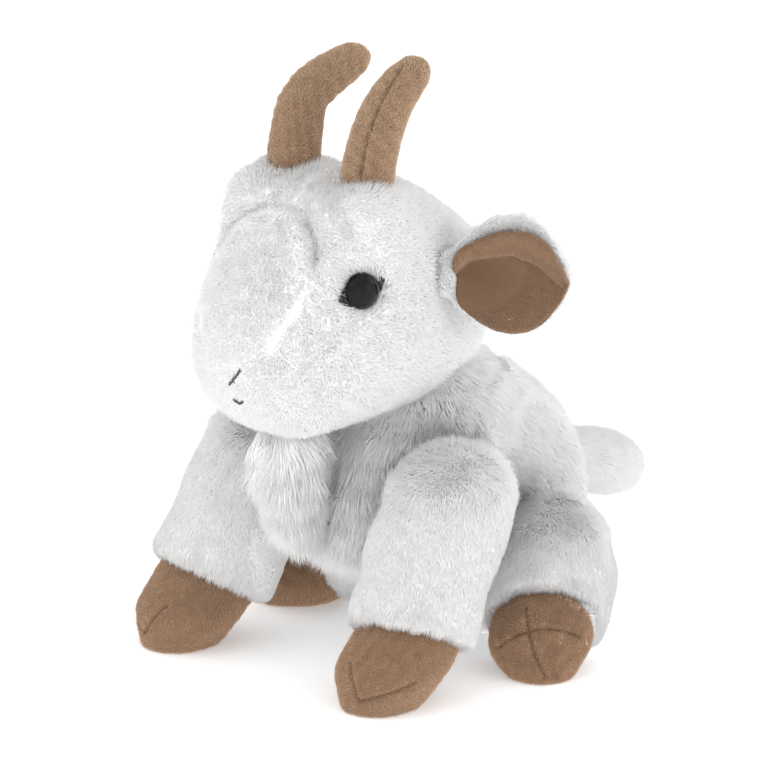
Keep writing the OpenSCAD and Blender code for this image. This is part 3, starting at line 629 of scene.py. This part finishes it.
CHEST_HAIRS = 14000
CHEST_HAIR_LENGTH, CHEST_HAIR_WIDTH = 11 * MM, 0.45 * MM
CHEST_HAIR_REACH = 24 * MM  # to either side of the middle
CHEST_DEPTH = 13 * MM  # how far the chest stands out between the front legs
CHEST_HALF_WIDTH = 25 * MM
CHEST_HEIGHTS = (0, 8 * MM, 20 * MM, 62 * MM, 84 * MM)
CHEST_SHARES = (0.3, 0.8, 1, 1, 0)  # of the depth, at those heights
BACK_RISE = 2.2 * MM  # how much fuller the back is behind the head


def make_chest(tree):
    """The long hair that fills the chest between the front legs."""
    rng = np.random.default_rng(85)
    low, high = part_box("torso_skin")
    tall = high[2] - low[2]
    places_x = rng.uniform(-CHEST_HAIR_REACH, CHEST_HAIR_REACH, CHEST_HAIRS)
    places_z = rng.uniform(low[2] + 0.3 * tall, low[2] + 0.86 * tall, CHEST_HAIRS)
    roots, ups = [], []
    for x, z in zip(places_x, places_z):
        hit, normal, _, _ = tree.ray_cast(Vector((x, -1, z)), Vector((0, 1, 0)))
        if hit is not None:
            roots.append(hit)
            ups.append(normal)
    roots, ups = np.array(roots), np.array(ups)
    ways = unit(0.5 * ups + np.array([0, -0.1, -0.9]) + 0.2 * wobble(roots, 9 * MM, 86)
                + 0.1 * rng.normal(size=roots.shape))
    bends = 0.3 * wobble(roots, 9 * MM, 87) + np.array([0, 0, -0.3])
    lengths = CHEST_HAIR_LENGTH * rng.uniform(0.6, 1.2, len(roots))
    widths = np.full(len(roots), CHEST_HAIR_WIDTH)
    pile = strands("chest_pile", roots, ways, lengths, widths, bends, PILE, rng)
    dress(pile, "torso", "long_pile")


def make_torso():
    skin = soft_form("torso_plush", ["torso_skin", "torso_stuffing"], 2.5 * MM, 3, PLUSH_BASE)
    corners, ups = coords(skin), normals(skin)
    corners = corners + ups * (0.5 * MM * wobble(corners, 22 * MM, 3)[:, :1])
    middle = np.clip(1 - (corners[:, 0] / CHEST_HALF_WIDTH) ** 2, 0, 1)
    chest = np.clip((-14 * MM - corners[:, 1]) / (20 * MM), 0, 1) * middle
    chest *= np.interp(corners[:, 2], CHEST_HEIGHTS, CHEST_SHARES)
    corners[:, 1] -= CHEST_DEPTH * chest
    rear = np.clip(corners[:, 1] / (14 * MM), 0, 1) * np.clip(ups[:, 2] / 0.4, 0, 1)
    set_coords(skin, corners + ups * (BACK_RISE * rear)[:, None])
    forelegs = ("left_foreleg_skin", "right_foreleg_skin")
    hidden = tree_of_nodes(*forelegs, "left_hindleg_skin", "right_hindleg_skin")
    fore = tree_of_nodes(*forelegs)
    band = np.array(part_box("neck_seam")).mean(axis=0)

    def keep(points, ups):
        """Little pile under the legs and on the seat."""
        covered = (distances(hidden, points, 4 * MM) < 2 * MM) & (np.abs(ups[:, 0]) > 0.8)
        return np.where(covered, 0.25, 1.0) * np.where(points[:, 2] > 3 * MM, 1, 0.25)

    def fringe(points):
        """The chest, the shoulders and the nape are shaggier than the rest."""
        high = np.clip((points[:, 2] - 48 * MM) / (22 * MM), 0, 1)
        chest = np.clip((band[1] - 12 * MM - points[:, 1]) / (10 * MM), 0, 1)
        chest = chest * np.clip(points[:, 2] / (30 * MM) - 0.7, 0, 1)
        shoulder = np.clip(1 - distances(fore, points, 16 * MM) / (14 * MM), 0, 1) * high
        out = unit((points - band) * [1, 0.4, 0])
        return (0.3 * high + 0.5 * shoulder)[:, None] * out, 1 + 0.5 * high + 0.4 * chest + 0.4 * shoulder

    def comb(points):
        """Down, and away from the neck to the front and the back."""
        return unit(directions(points, 0, 0.7 * np.sign(points[:, 1] - band[1]), -1))

    coats("torso", "torso", skin, (11, 12), count=49900, length=3.2 * MM, width=0.5 * MM, comb=comb, keep=keep,
          lean=2.0, fringe=fringe)
    make_chest(tree_of(skin))
    dress(skin, "torso", "white_plush", "torso_skin", "torso_stuffing", "bean_pouch", fill=0.9)


def make_neck():
    neck = soft_form("neck_plush", ["neck_seam", "neck_stuffing"], 1.6 * MM, 1, PLUSH_BASE)
    band = np.array(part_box("neck_seam")).mean(axis=0)
    # What lies inside the torso is narrowed, to keep clear of the torso's skin
    corners = coords(neck)
    narrow = np.interp(corners[:, 2], [band[2] - 28 * MM, band[2] - 9 * MM], [0.75, 1])
    corners[:, :2] = band[:2] + (corners[:, :2] - band[:2]) * narrow[:, None]
    set_coords(neck, corners)

    def keep(points, ups):
        """Pile grows from what shows above the collar."""
        return np.where(points[:, 2] > band[2] - 8 * MM, 1.0, 0.0)

    def comb(points):
        out = unit((points - band) * [1, 1, 0])
        return unit(0.5 * out + np.array([0, 0, -1.0]))

    pile = fur("neck_pile", neck, 45000, 6.5 * MM, 0.55 * MM, comb, keep, seed=15, lean=1.3)
    dress(pile, "neck", "white_plush")
    dress(neck, "neck", "white_plush", "neck_seam", "neck_stuffing", fill=0.9)


# The nose pad's edge from the arch's top to its lower end: shares of its half width and of its drop
PAD_EDGE = ((0, 0), (0.3, 0.01), (0.56, 0.08), (0.8, 0.17), (0.92, 0.27), (1, 0.53), (0.92, 0.74), (0.7, 1))
PAD_DROP = 43 * MM
PAD_SIDE_SHARE = 0.92  # of the pad's half width, where the image point PAD_SIDE lies
PAD_GROOVE, PAD_SWELL = 2.1 * MM, 0.7 * MM  # depth of its seam, and the rise beside it
PAD_DENT = 1.8 * MM  # deeper still where the seam passes the brow
BROW_RISE, BROW_CORNER_RISE, CHEEK_RISE, EYE_SOCKET = 3.2 * MM, 3 * MM, 1.2 * MM, 1.8 * MM
BROW_CORNER_WAY = (0.697, -0.717, 0)  # the forehead's corner is the furthest place this way
NOSTRIL_RADIUS, MOUTH_RADIUS = 0.6 * MM, 0.55 * MM
FAR_NOSTRIL_SINK = 0.55 * MM  # into the pile, since the photograph doesn't show it
MOUTH_HALF_WIDTH, MOUTH_CURVE, MOUTH_PARTING = 2.4 * MM, 1.6 * MM, 1.6 * MM


def pad_edge(tree):
    """The near half of the seam round the nose pad, cast on the face from the front."""
    top, side = on_surface(tree, PAD_ARCH)[0], on_surface(tree, PAD_SIDE)[0]
    half = abs(side.x) / PAD_SIDE_SHARE
    shares = np.array(PAD_EDGE)
    fine = np.linspace(0, len(shares) - 1, 28)
    line = []
    for across, drop in zip(np.interp(fine, range(len(shares)), shares[:, 0]),
                            np.interp(fine, range(len(shares)), shares[:, 1])):
        start = Vector((across * half, -1, top.z - drop * PAD_DROP))
        hit = tree.ray_cast(start, Vector((0, 1, 0)))[0]
        if hit is not None:
            line.append(hit)
    return line


def shape_face(skin, crease, pad_line, eyes, dent):
    """Sews the pad's edge into the head's form, and shapes brows, cheeks and eye sockets."""
    corners, ups = coords(skin), normals(skin)
    d = line_distance(corners, pad_line)
    push = -PAD_GROOVE * np.exp(-(d / (2.8 * MM)) ** 2) + PAD_SWELL * np.exp(-((d - 6 * MM) / (3.5 * MM)) ** 2)
    push *= 0.5 + 0.8 * np.clip((np.abs(corners[:, 0]) / abs(crease[-1].x) - 0.35) / 0.5, 0, 1)
    # The seam is deepest under the brow and runs out down the muzzle
    push *= 0.1 + 0.9 * np.clip((corners[:, 2] - crease[-1].z - 16 * MM) / (18 * MM), 0, 1)
    high = corners[corners[:, 2] > eyes[0].z + 25 * MM]
    corner_at = high[np.argmax(high @ BROW_CORNER_WAY)]
    for eye in eyes:
        out = 1 if eye.x > 0 else -1
        push -= PAD_DENT * bump(corners, dent * [out, 1, 1], 5 * MM)
        brow = Vector(eye) + Vector((-3 * MM * out, 2 * MM, 17 * MM))
        cheek = Vector(eye) + Vector((2 * MM * out, 4 * MM, -24 * MM))
        push += BROW_RISE * bump(corners, brow, 10 * MM)
        push += BROW_CORNER_RISE * bump(corners, corner_at * [out, 1, 1], 9 * MM)
        push += CHEEK_RISE * bump(corners, cheek, 16 * MM)
        push -= EYE_SOCKET * bump(corners, eye, 8 * MM)
    set_coords(skin, corners + ups * push[:, None])


def stitch_face(tree):
    """Both nostrils and the mouth in thread; gives the near nostril's line and the mouth's."""
    nostril = []
    for t in np.linspace(0, 1, 6):
        place = np.array(NOSTRIL_TOP) * (1 - t) + np.array(NOSTRIL_LOW) * t
        hit, normal = on_surface(tree, tuple(place))
        nostril.append(hit + normal * 0.1 * MM)
    near_side, far_side = ("left", "right") if nostril[0].x > 0 else ("right", "left")
    far = [p - tree.find_nearest(p)[1] * FAR_NOSTRIL_SINK for p in mirrored(nostril)]
    for side, line in ((near_side, nostril), (far_side, far)):
        piece = thread(f"{side}_nostril_thread", line, NOSTRIL_RADIUS, THREAD)
        dress(piece, "head", "dark_thread", f"{side}_nostril_stitch")
    middle = on_surface(tree, MOUTH)[0]
    mouth = []
    for t in np.linspace(-1, 1, 7):
        near = tree.find_nearest(Vector((t * MOUTH_HALF_WIDTH, middle.y, middle.z + MOUTH_CURVE * abs(t))))
        mouth.append(near[0] + near[1] * 0.6 * MM)
    piece = thread("mouth_thread", mouth, MOUTH_RADIUS, THREAD)
    dress(piece, "head", "dark_thread", "mouth_stitch")
    return nostril, mouth


def coat_head(skin, crease, pad_line, eyes, nostril, mouth):
    """The head's pile, parted along its seams and stitches."""
    horns = tree_of_nodes("left_horn_skin", "right_horn_skin")
    band = np.array(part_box("neck_seam")).mean(axis=0)
    nose = nostril[3]
    pad_half = abs(crease[-1].x) / PAD_EDGE[-1][0]

    def on_pad(points):
        """How far inside the nose pad's edge a place lies, 0 to 1."""
        drops, halves = [-p.z for p in crease], [p.x for p in crease]
        reach = np.interp(-points[:, 2], drops, halves, left=0, right=pad_half * 0.6)
        inside = np.clip((reach - np.abs(points[:, 0])) / (3 * MM), 0, 1)
        return inside * (points[:, 1] < crease[0].y + 6 * MM)

    def keep(points, ups):
        share = np.ones(len(points)) * (1 - 0.1 * on_pad(points))
        for eye in eyes:
            share *= 1 - 0.97 * bump(points, eye, 5.5 * MM)
        share *= 1 - 0.7 * np.exp(-(line_distance(points, pad_line) / (1.8 * MM)) ** 2)
        for line, width in ((nostril, NOSTRIL_RADIUS), (mouth, MOUTH_PARTING)):
            share *= 1 - 0.6 * np.exp(-(line_distance(points, line) / width) ** 2)
        share *= 1 - 0.15 * bump(points, (0, nose.y, nose.z), 26 * MM)
        # Inside the hollow that turns on the neck there is only backing
        hollow = np.linalg.norm(points - band, axis=1) < 36 * MM
        share[hollow & (ups[:, 2] < -0.55)] = 0
        return share

    def fringe(points):
        """Pile round a horn's foot stands up against the horn, and the jaw's edge hangs over the neck."""
        near = np.clip(1 - distances(horns, points, 8 * MM) / (6 * MM), 0, 1)
        low = np.clip(1 - np.abs(np.linalg.norm(points - band, axis=1) - 38 * MM) / (9 * MM), 0, 1)
        low *= points[:, 2] < band[2] + 20 * MM
        pull = np.zeros_like(points)
        pull[:, 2] = 1.9 * near - 0.9 * low
        share = 1 + 1.1 * near + 1.1 * low
        # Pile leans in over the felt corners of the eyes
        for eye in eyes:
            away = np.linalg.norm(points - np.array(eye), axis=1)
            rim = np.exp(-((away - 8 * MM) / (2.2 * MM)) ** 2)
            pull += 1.2 * rim[:, None] * unit(np.array(eye) - points)
            share += 0.35 * rim
        return pull, share

    def comb(points):
        """Back along the cheeks and the crown, down and outward on the muzzle."""
        front = np.clip((-64 * MM - points[:, 1]) / (14 * MM), 0, 1)[:, None]
        back = directions(points, 0.25 * np.sign(points[:, 0]), 0.9, -0.35)
        down = directions(points, 0.5 * np.clip(points[:, 0] / (12 * MM), -1, 1), 0.1, -0.9)
        return unit((1 - front) * back + front * down)

    coats("head", "head", skin, (21, 22), count=49900, length=2.6 * MM, width=0.42 * MM, comb=comb, keep=keep,
          lean=0.9, fringe=fringe)


def make_head():
    skin = soft_form("head_plush", ["head_skin", "head_stuffing"], 1.8 * MM, 4, PLUSH_BASE)
    tree = tree_of(skin)
    crease = pad_edge(tree)
    pad_line = [*reversed(mirrored(crease)), *crease]
    eye_at = on_surface(tree, EYE)[0]
    eyes = [eye_at, Vector((-eye_at.x, eye_at.y, eye_at.z))]
    shape_face(skin, crease, pad_line, eyes, np.array(on_surface(tree, PAD_SIDE)[0]))
    nostril, mouth = stitch_face(tree_of(skin))
    coat_head(skin, crease, pad_line, eyes, nostril, mouth)
    dress(skin, "head", "white_plush", "head_skin", "head_stuffing", fill=0.9)


def hull_form(name, nodes, voxel, smoothing, material_used):
    """One closed, rounded form that wraps some CAD nodes."""
    corners, _ = joined(nodes)
    hull = bmesh.new()
    for corner in np.unique(corners.round(6), axis=0):
        hull.verts.new(corner)
    made = bmesh.ops.convex_hull(hull, input=hull.verts)
    bmesh.ops.delete(hull, geom=list({*made["geom_interior"], *made["geom_unused"]}), context="VERTS")
    mesh = bpy.data.meshes.new(name)
    hull.to_mesh(mesh)
    hull.free()
    mesh.materials.append(material_used)
    obj = bpy.data.objects.new(name, mesh)
    bpy.context.scene.collection.objects.link(obj)
    return remeshed(obj, voxel, smoothing, material_used)


HOOF_LINES = {}


def hoof_lines(tree, part):
    """The sewn lines of a near hoof, and where their ends show."""
    if part == "foreleg":
        slit = traced(tree, TOE_TOP, TOE_CORNER, -0.7 * MM)
        seam = traced(tree, TOE_CORNER, TOE_END, -0.7 * MM)
    else:
        slit = traced(tree, REAR_SLIT_TOP, REAR_SLIT_LOW, -1.5 * MM)
        seam = traced(tree, REAR_SEAM_LEFT, REAR_SEAM_RIGHT, 4.4 * MM)
    return slit, seam


LIMB_SEEDS = {"left_foreleg": 31, "right_foreleg": 38, "left_hindleg": 45, "right_hindleg": 52}
HAUNCH_RISE = 2.4 * MM  # how much fuller the rear of a hind leg is
OWN_SURFACE = {"foreleg": 1.7 * MM, "hindleg": 4.4 * MM}  # pile grows no further than this from the CAD skin
INNER_SIDE = 27.5 * MM  # nearer the middle than this, a leg lies against the torso


def make_limb(side, part, hoof):
    body = f"{side}_{part}"
    outward = 1 if side == "left" else -1
    seed = LIMB_SEEDS[body]
    nodes = [f"{body}_skin", f"{body}_stuffing"]
    skin = soft_form(f"{body}_plush", nodes, 1.8 * MM, 3, PLUSH_BASE)
    hoof_tree = tree_of_nodes(f"{side}_{hoof}_upper")
    skin_tree = tree_of_nodes(f"{body}_skin")
    corners, ups = coords(skin), normals(skin)
    corners = corners + ups * (0.4 * MM * wobble(corners, 16 * MM, 5)[:, :1])
    if part == "hindleg":
        rear = np.clip(ups @ [0.7 * outward, 0.7, 0] / 0.5 - 1, 0, 1)
        corners += ups * (HAUNCH_RISE * rear)[:, None]
    set_coords(skin, corners)
    cuff = centre(f"{side}_{hoof}_upper")
    top_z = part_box(f"{body}_skin")[1][2]

    def keep(points, ups):
        """Little pile on the ground and against the torso."""
        share = np.where(distances(skin_tree, points, 5 * MM) < OWN_SURFACE[part], 1.0, 0.0)
        low = np.clip((points[:, 2] - 2.5 * MM) / (3 * MM), 0, 1)
        return share * (0.25 + 0.75 * low) * np.where(points[:, 0] * outward < INNER_SIDE, 0.3, 1)

    def comb(points):
        return unit(0.8 * unit(cuff - points) + np.array([0, 0, -0.6]))

    def fringe(points):
        """Pile at the cuff hangs over the hoof, and near the leg's top it is combed less."""
        near = np.clip(1 - distances(hoof_tree, points, 8 * MM) / (7 * MM), 0, 1)
        top = np.clip((points[:, 2] - top_z + 26 * MM) / (16 * MM), 0, 1)
        inner = np.clip(1 - (np.abs(points[:, 0]) - 26 * MM) / (18 * MM), 0, 1) * top
        pull = unit(cuff - points) * near[:, None] * 0.8 + 0.9 * near[:, None] * wobble(points, 6 * MM, seed)
        pull -= 1.4 * top[:, None] * comb(points)
        return pull, 1 + 1.5 * near + 0.4 * top + 0.7 * inner

    coats(body, body, skin, (seed, seed + 100), count=42000, length=2.9 * MM, width=0.46 * MM, comb=comb,
          keep=keep, lean=2.2, fringe=fringe)
    dress(skin, body, "white_plush", *nodes, fill=0.9)
    hoof_nodes = [f"{side}_{hoof}_upper", f"{side}_{hoof}_sole"]
    shoe = hull_form(f"{side}_{hoof}_velour", hoof_nodes, 0.9 * MM, 34, TAN)
    if side == "left":
        HOOF_LINES[part] = hoof_lines(tree_of(shoe), part)
    lines = HOOF_LINES[part] if side == "left" else [mirrored(line) for line in HOOF_LINES[part]]
    sewn(shoe, lines, depth=0.6 * MM, width=0.7 * MM)
    pile = nap(f"{side}_{hoof}_nap", shoe, 26000, lines, (0, -0.6, -1), seed + 3, HOOF_NAP)
    dress(pile, body, "tan_velour")
    dress(shoe, body, "tan_velour", *hoof_nodes, fill=0.8)


HORN_LINE = []
HORN_SEEDS = {"left": 91, "right": 92}
HORN_ROOT_DROP = 4.5 * MM  # how far the root's foot runs down into the pile


def make_horn(side):
    nodes = [f"{side}_horn_skin", f"{side}_horn_stuffing"]
    horn = soft_form(f"{side}_horn_velour", nodes, 0.75 * MM, 6, TAN)
    corners = coords(horn)
    root = corners[:, 2].min()
    corners[:, 2] -= HORN_ROOT_DROP * np.clip(1 - (corners[:, 2] - root) / (5 * MM), 0, 1)
    set_coords(horn, corners)
    tree = tree_of(horn)
    if side == "left":
        HORN_LINE.extend(traced(tree, HORN_SEAM_TOP, HORN_SEAM_LOW, -2.5 * MM))
        line = HORN_LINE
    else:
        line = [tree.find_nearest(point)[0] for point in mirrored(HORN_LINE)]
    sewn(horn, [line], pucker=0.3 * MM, pitch=4 * MM)
    pile = nap(f"{side}_horn_nap", horn, 24000, [line], (0, 0.2, 1), HORN_SEEDS[side], HORN_NAP)
    dress(pile, "head", "tan_velour")
    dress(horn, "head", "tan_velour", *nodes, fill=0.9)


def smooth_form(name, node, levels, material_used):
    """A CAD node's own faces, rounded by subdivision."""
    obj = mesh_object(name, *node_arrays(node), [material_used])
    weld = obj.modifiers.new("weld", "WELD")
    weld.merge_threshold = 0.01 * MM
    rounder = obj.modifiers.new("rounder", "SUBSURF")
    rounder.levels = levels
    return applied(obj)


EAR_SEEDS = {"left": (61, 95), "right": (64, 96)}  # of the pile and of the lining's nap
CUP_RIM, CUP_DEPTH = 1.3 * MM, 2.1 * MM  # how far the lining's rim stands out, and the cup lies below it
CUP_EDGE = ((0, 0.6), (0.15, 0.76), (0.45, 0.8), (0.67, 0.7), (0.85, 0.5), (1, 0.2))  # outward, height; shares


def make_ear(side):
    body = f"{side}_ear"
    pile_seed, nap_seed = EAR_SEEDS[side]
    back = soft_form(f"{side}_ear_plush", [f"{side}_ear_back"], 1.0 * MM, 3, PLUSH_BASE)
    lining = smooth_form(f"{side}_ear_velour", f"{side}_ear_lining", 2, SHADED_LINING)
    facing = tree_of_nodes(f"{side}_ear_lining")
    root = centre(f"{side}_ear_back")
    low, high = (np.array(corner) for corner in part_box(f"{side}_ear_lining"))
    inner_x = low[0] if side == "left" else high[0]

    def cup(points):
        """How far inside the cup's edge a place lies, 0 to 1, and how dark the painted shade is there: darkest
        high up near the head.
        """
        height = (points[:, 2] - low[2]) / (high[2] - low[2])
        outward = np.abs(points[:, 0] - inner_x) / (high[0] - low[0])
        inside = np.clip((np.interp(outward, *zip(*CUP_EDGE)) - height) / 0.07, 0, 1)
        # Near the ear's tip the edge fades out
        faded = inside + (0.6 - inside) * np.clip((outward - 0.85) / 0.12, 0, 1)
        inside = np.where(outward < 0.85, inside, faded)
        return inside, np.clip(inside * (1.05 - 1.25 * np.hypot(outward - 0.1, height - 0.6)), 0, 1)

    corners = coords(lining)
    inside, shade = cup(corners)
    set_coords(lining, corners + normals(lining) * (CUP_RIM - CUP_DEPTH * inside)[:, None])
    # The cup's painted shade is stored for the lining's colour.
    store_seams_and_shade(lining, shade)

    # The lighter nap grows outside the cup's painted shade, so the rim reads lighter than the painted shade in
    # the cup.
    def keep_nap(points, ups):
        return np.clip(1 - 1.9 * cup(points)[1], 0, 1)

    fuzz = fur(f"{side}_ear_nap", lining, 20000, NAP_LENGTH, NAP_WIDTH, one_way((0, 0, -1)), keep_nap,
               seed=nap_seed, lean=NAP_LEAN, clump=NAP_CLUMP, materials=EAR_NAP_SHADED)
    dress(fuzz, body, "tan_velour")

    def keep(points, ups):
        return np.where(distances(facing, points, 4 * MM) < 1.2 * MM, 0.0, 1.0)

    def comb(points):
        return unit(points - np.array([root[0] * 0.6, root[1] - 20 * MM, root[2]]))

    pile = fur(f"{side}_ear_pile", back, 22000, 2.4 * MM, 0.45 * MM, comb, keep, seed=pile_seed, lean=0.6)
    dress(back, body, "white_plush", f"{side}_ear_back", fill=0.8)
    dress(pile, body, "white_plush")
    dress(lining, body, "tan_velour", f"{side}_ear_lining")


def make_tail():
    skin = soft_form("tail_plush", ["tail_skin", "tail_stuffing"], 1.6 * MM, 3, PLUSH_BASE)
    pile = fur("tail_pile", skin, 18000, 3.6 * MM, 0.6 * MM, one_way((0, 0.8, -0.5)), seed=71, lean=1.0)
    dress(skin, "tail", "white_plush", "tail_skin", "tail_stuffing", fill=0.9)
    dress(pile, "tail", "white_plush")


BEARD_HAIRS, BEARD_HAIR_WIDTH = 18000, 0.38 * MM
BEARD_TOP_HAIR, BEARD_SHORTENING = 13, 4  # mm: hair length at the top, and how much is lost by the tip


def make_beard():
    core = soft_form("beard_plush", ["beard"], 1.3 * MM, 3, PLUSH_BASE)
    rng = np.random.default_rng(81)
    roots, ups = surface_samples(core, BEARD_HAIRS, rng)
    low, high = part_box("beard")
    down = np.clip((high[2] - roots[:, 2]) / (high[2] - low[2]), 0, 1)
    ways = unit(0.36 * ups + np.array([0, 0.12, -1.0]) + 0.18 * wobble(roots, 9 * MM, 82)
                + 0.09 * rng.normal(size=roots.shape))
    bends = 0.3 * wobble(roots, 9 * MM, 83) + np.array([0, 0.05, -0.25])
    lengths = (BEARD_TOP_HAIR - BEARD_SHORTENING * down) * MM * rng.uniform(0.6, 1.25, len(roots))
    widths = np.full(len(roots), BEARD_HAIR_WIDTH)
    pile = strands("beard_pile", roots, ways, lengths, widths, bends, PILE, rng)
    dress(core, "head", "long_pile", "beard")
    dress(pile, "head", "long_pile")


def make_seat():
    seat = soft_form("seat_cloth", ["seat_panel"], 0.7 * MM, 1, PLUSH_BASE)
    dress(seat, "torso", "white_plush", "seat_panel")


def finish_cad_nodes():
    """Better materials on the CAD nodes that stay."""
    for side in ("left", "right"):
        for node, made in (("eye", EYE_BLACK), ("eye_patch", FELT), ("eye_washer", WASHER)):
            for place in NODES[f"{side}_{node}"].material_slots:
                place.material = made


# ---- Stage ----
FLOOR_HALF_WIDTH = 6.0
FLOOR_SEEN, FLOOR_FILL = 0.25, 0.68  # glow of the floor as it is seen, and as it lights the toy
BACKGROUND_SEEN = 1.0
AMBIENT_LEVEL, AMBIENT_ABOVE = 1.27, 1.1  # light from all round at the horizon, and from overhead
ABOVE = 0.8  # height of a direction that counts as overhead
LAMPS = (  # name, place in metres, watts, width in metres
    ("key", (-0.45, -1.25, 1.45), 1.0, 0.9),
    ("front", (1.25, -1.3, 0.2), 2.2, 1.6),
    ("right", (1.7, 0.3, 0.6), 3.0, 1.2),
    ("side", (-1.4, -0.9, 0.45), 0.5, 1.2),
    ("back", (0.5, 1.5, 0.9), 2.5, 1.2),
)


def seen_level(tree, seen, strength, unseen=None):
    """Sets a strength to seen for camera and glossy rays, and to unseen for the rest; returns the switch."""
    path = tree.nodes.new("ShaderNodeLightPath")
    sight = tree.nodes.new("ShaderNodeMath")
    sight.operation = "MAXIMUM"
    level = tree.nodes.new("ShaderNodeMapRange")
    level.inputs["To Max"].default_value = seen
    if unseen is not None:
        level.inputs["To Min"].default_value = unseen
    tree.links.new(path.outputs["Is Camera Ray"], sight.inputs[0])
    tree.links.new(path.outputs["Is Glossy Ray"], sight.inputs[1])
    tree.links.new(sight.outputs["Value"], level.inputs["Value"])
    tree.links.new(level.outputs["Result"], strength)
    return level


def make_floor():
    made = bpy.data.materials.new("floor")
    made.use_nodes = True
    shader = made.node_tree.nodes["Principled BSDF"]
    shader.inputs["Base Color"].default_value = (0.92, 0.92, 0.92, 1)
    shader.inputs["Roughness"].default_value = 0.9
    shader.inputs["Specular IOR Level"].default_value = 0.0
    shader.inputs["Emission Color"].default_value = (1, 1, 1, 1)
    seen_level(made.node_tree, FLOOR_SEEN, shader.inputs["Emission Strength"], unseen=FLOOR_FILL)
    half = FLOOR_HALF_WIDTH
    corners = np.array([[-half, -half, 0], [half, -half, 0], [half, half, 0], [-half, half, 0]])
    mesh_object("floor", corners, np.array([[0, 1, 2, 3]]), [made])


def make_world():
    """Light from all round, a little weaker from overhead than from the side."""
    world = bpy.data.worlds.new("studio")
    bpy.context.scene.world = world
    world.use_nodes = True
    tree = world.node_tree
    background = tree.nodes["Background"]
    background.inputs["Color"].default_value = (1, 1, 1, 1)
    level = seen_level(tree, BACKGROUND_SEEN, background.inputs["Strength"])
    sky = tree.nodes.new("ShaderNodeTexCoord")
    split = tree.nodes.new("ShaderNodeSeparateXYZ")
    height = tree.nodes.new("ShaderNodeMapRange")
    height.inputs["From Max"].default_value = ABOVE
    height.inputs["To Min"].default_value = AMBIENT_LEVEL
    height.inputs["To Max"].default_value = AMBIENT_ABOVE
    tree.links.new(sky.outputs["Generated"], split.inputs["Vector"])
    tree.links.new(split.outputs["Z"], height.inputs["Value"])
    tree.links.new(height.outputs["Result"], level.inputs["To Min"])


def make_stage():
    """A pale floor that keeps the shadow, and soft studio lights."""
    make_floor()
    make_world()
    for name, place, watts, width in LAMPS:
        lamp = bpy.data.lights.new(name, "AREA")
        lamp.energy = watts
        lamp.size = width
        obj = bpy.data.objects.new(name, lamp)
        obj.location = place
        obj.rotation_euler = (AIM_CENTRE - Vector(place)).to_track_quat("-Z", "Y").to_euler()
        bpy.context.scene.collection.objects.link(obj)


def write_points():
    """Finds where the shown meshes, the left eye and the left horn fall in the image."""
    corners = []
    for obj in bpy.context.scene.objects:
        if obj.type == "MESH" and obj.name != "floor" and not obj.hide_render:
            world = np.array(obj.matrix_world)
            corners.append(to_image(coords(obj) @ world[:3, :3].T + world[:3, 3]))
    corners = np.concatenate(corners)
    eye = to_image(node_arrays("left_eye")[0])
    horn = to_image(node_arrays("left_horn_skin")[0])


bpy.context.scene.view_settings.view_transform = "Standard"
make_stage()
make_torso()
make_neck()
make_head()
for each_side in ("left", "right"):
    make_limb(each_side, "foreleg", "forehoof")
    make_limb(each_side, "hindleg", "hindhoof")
    make_horn(each_side)
    make_ear(each_side)
make_tail()
make_beard()
make_seat()
finish_cad_nodes()

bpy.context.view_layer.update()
write_points()
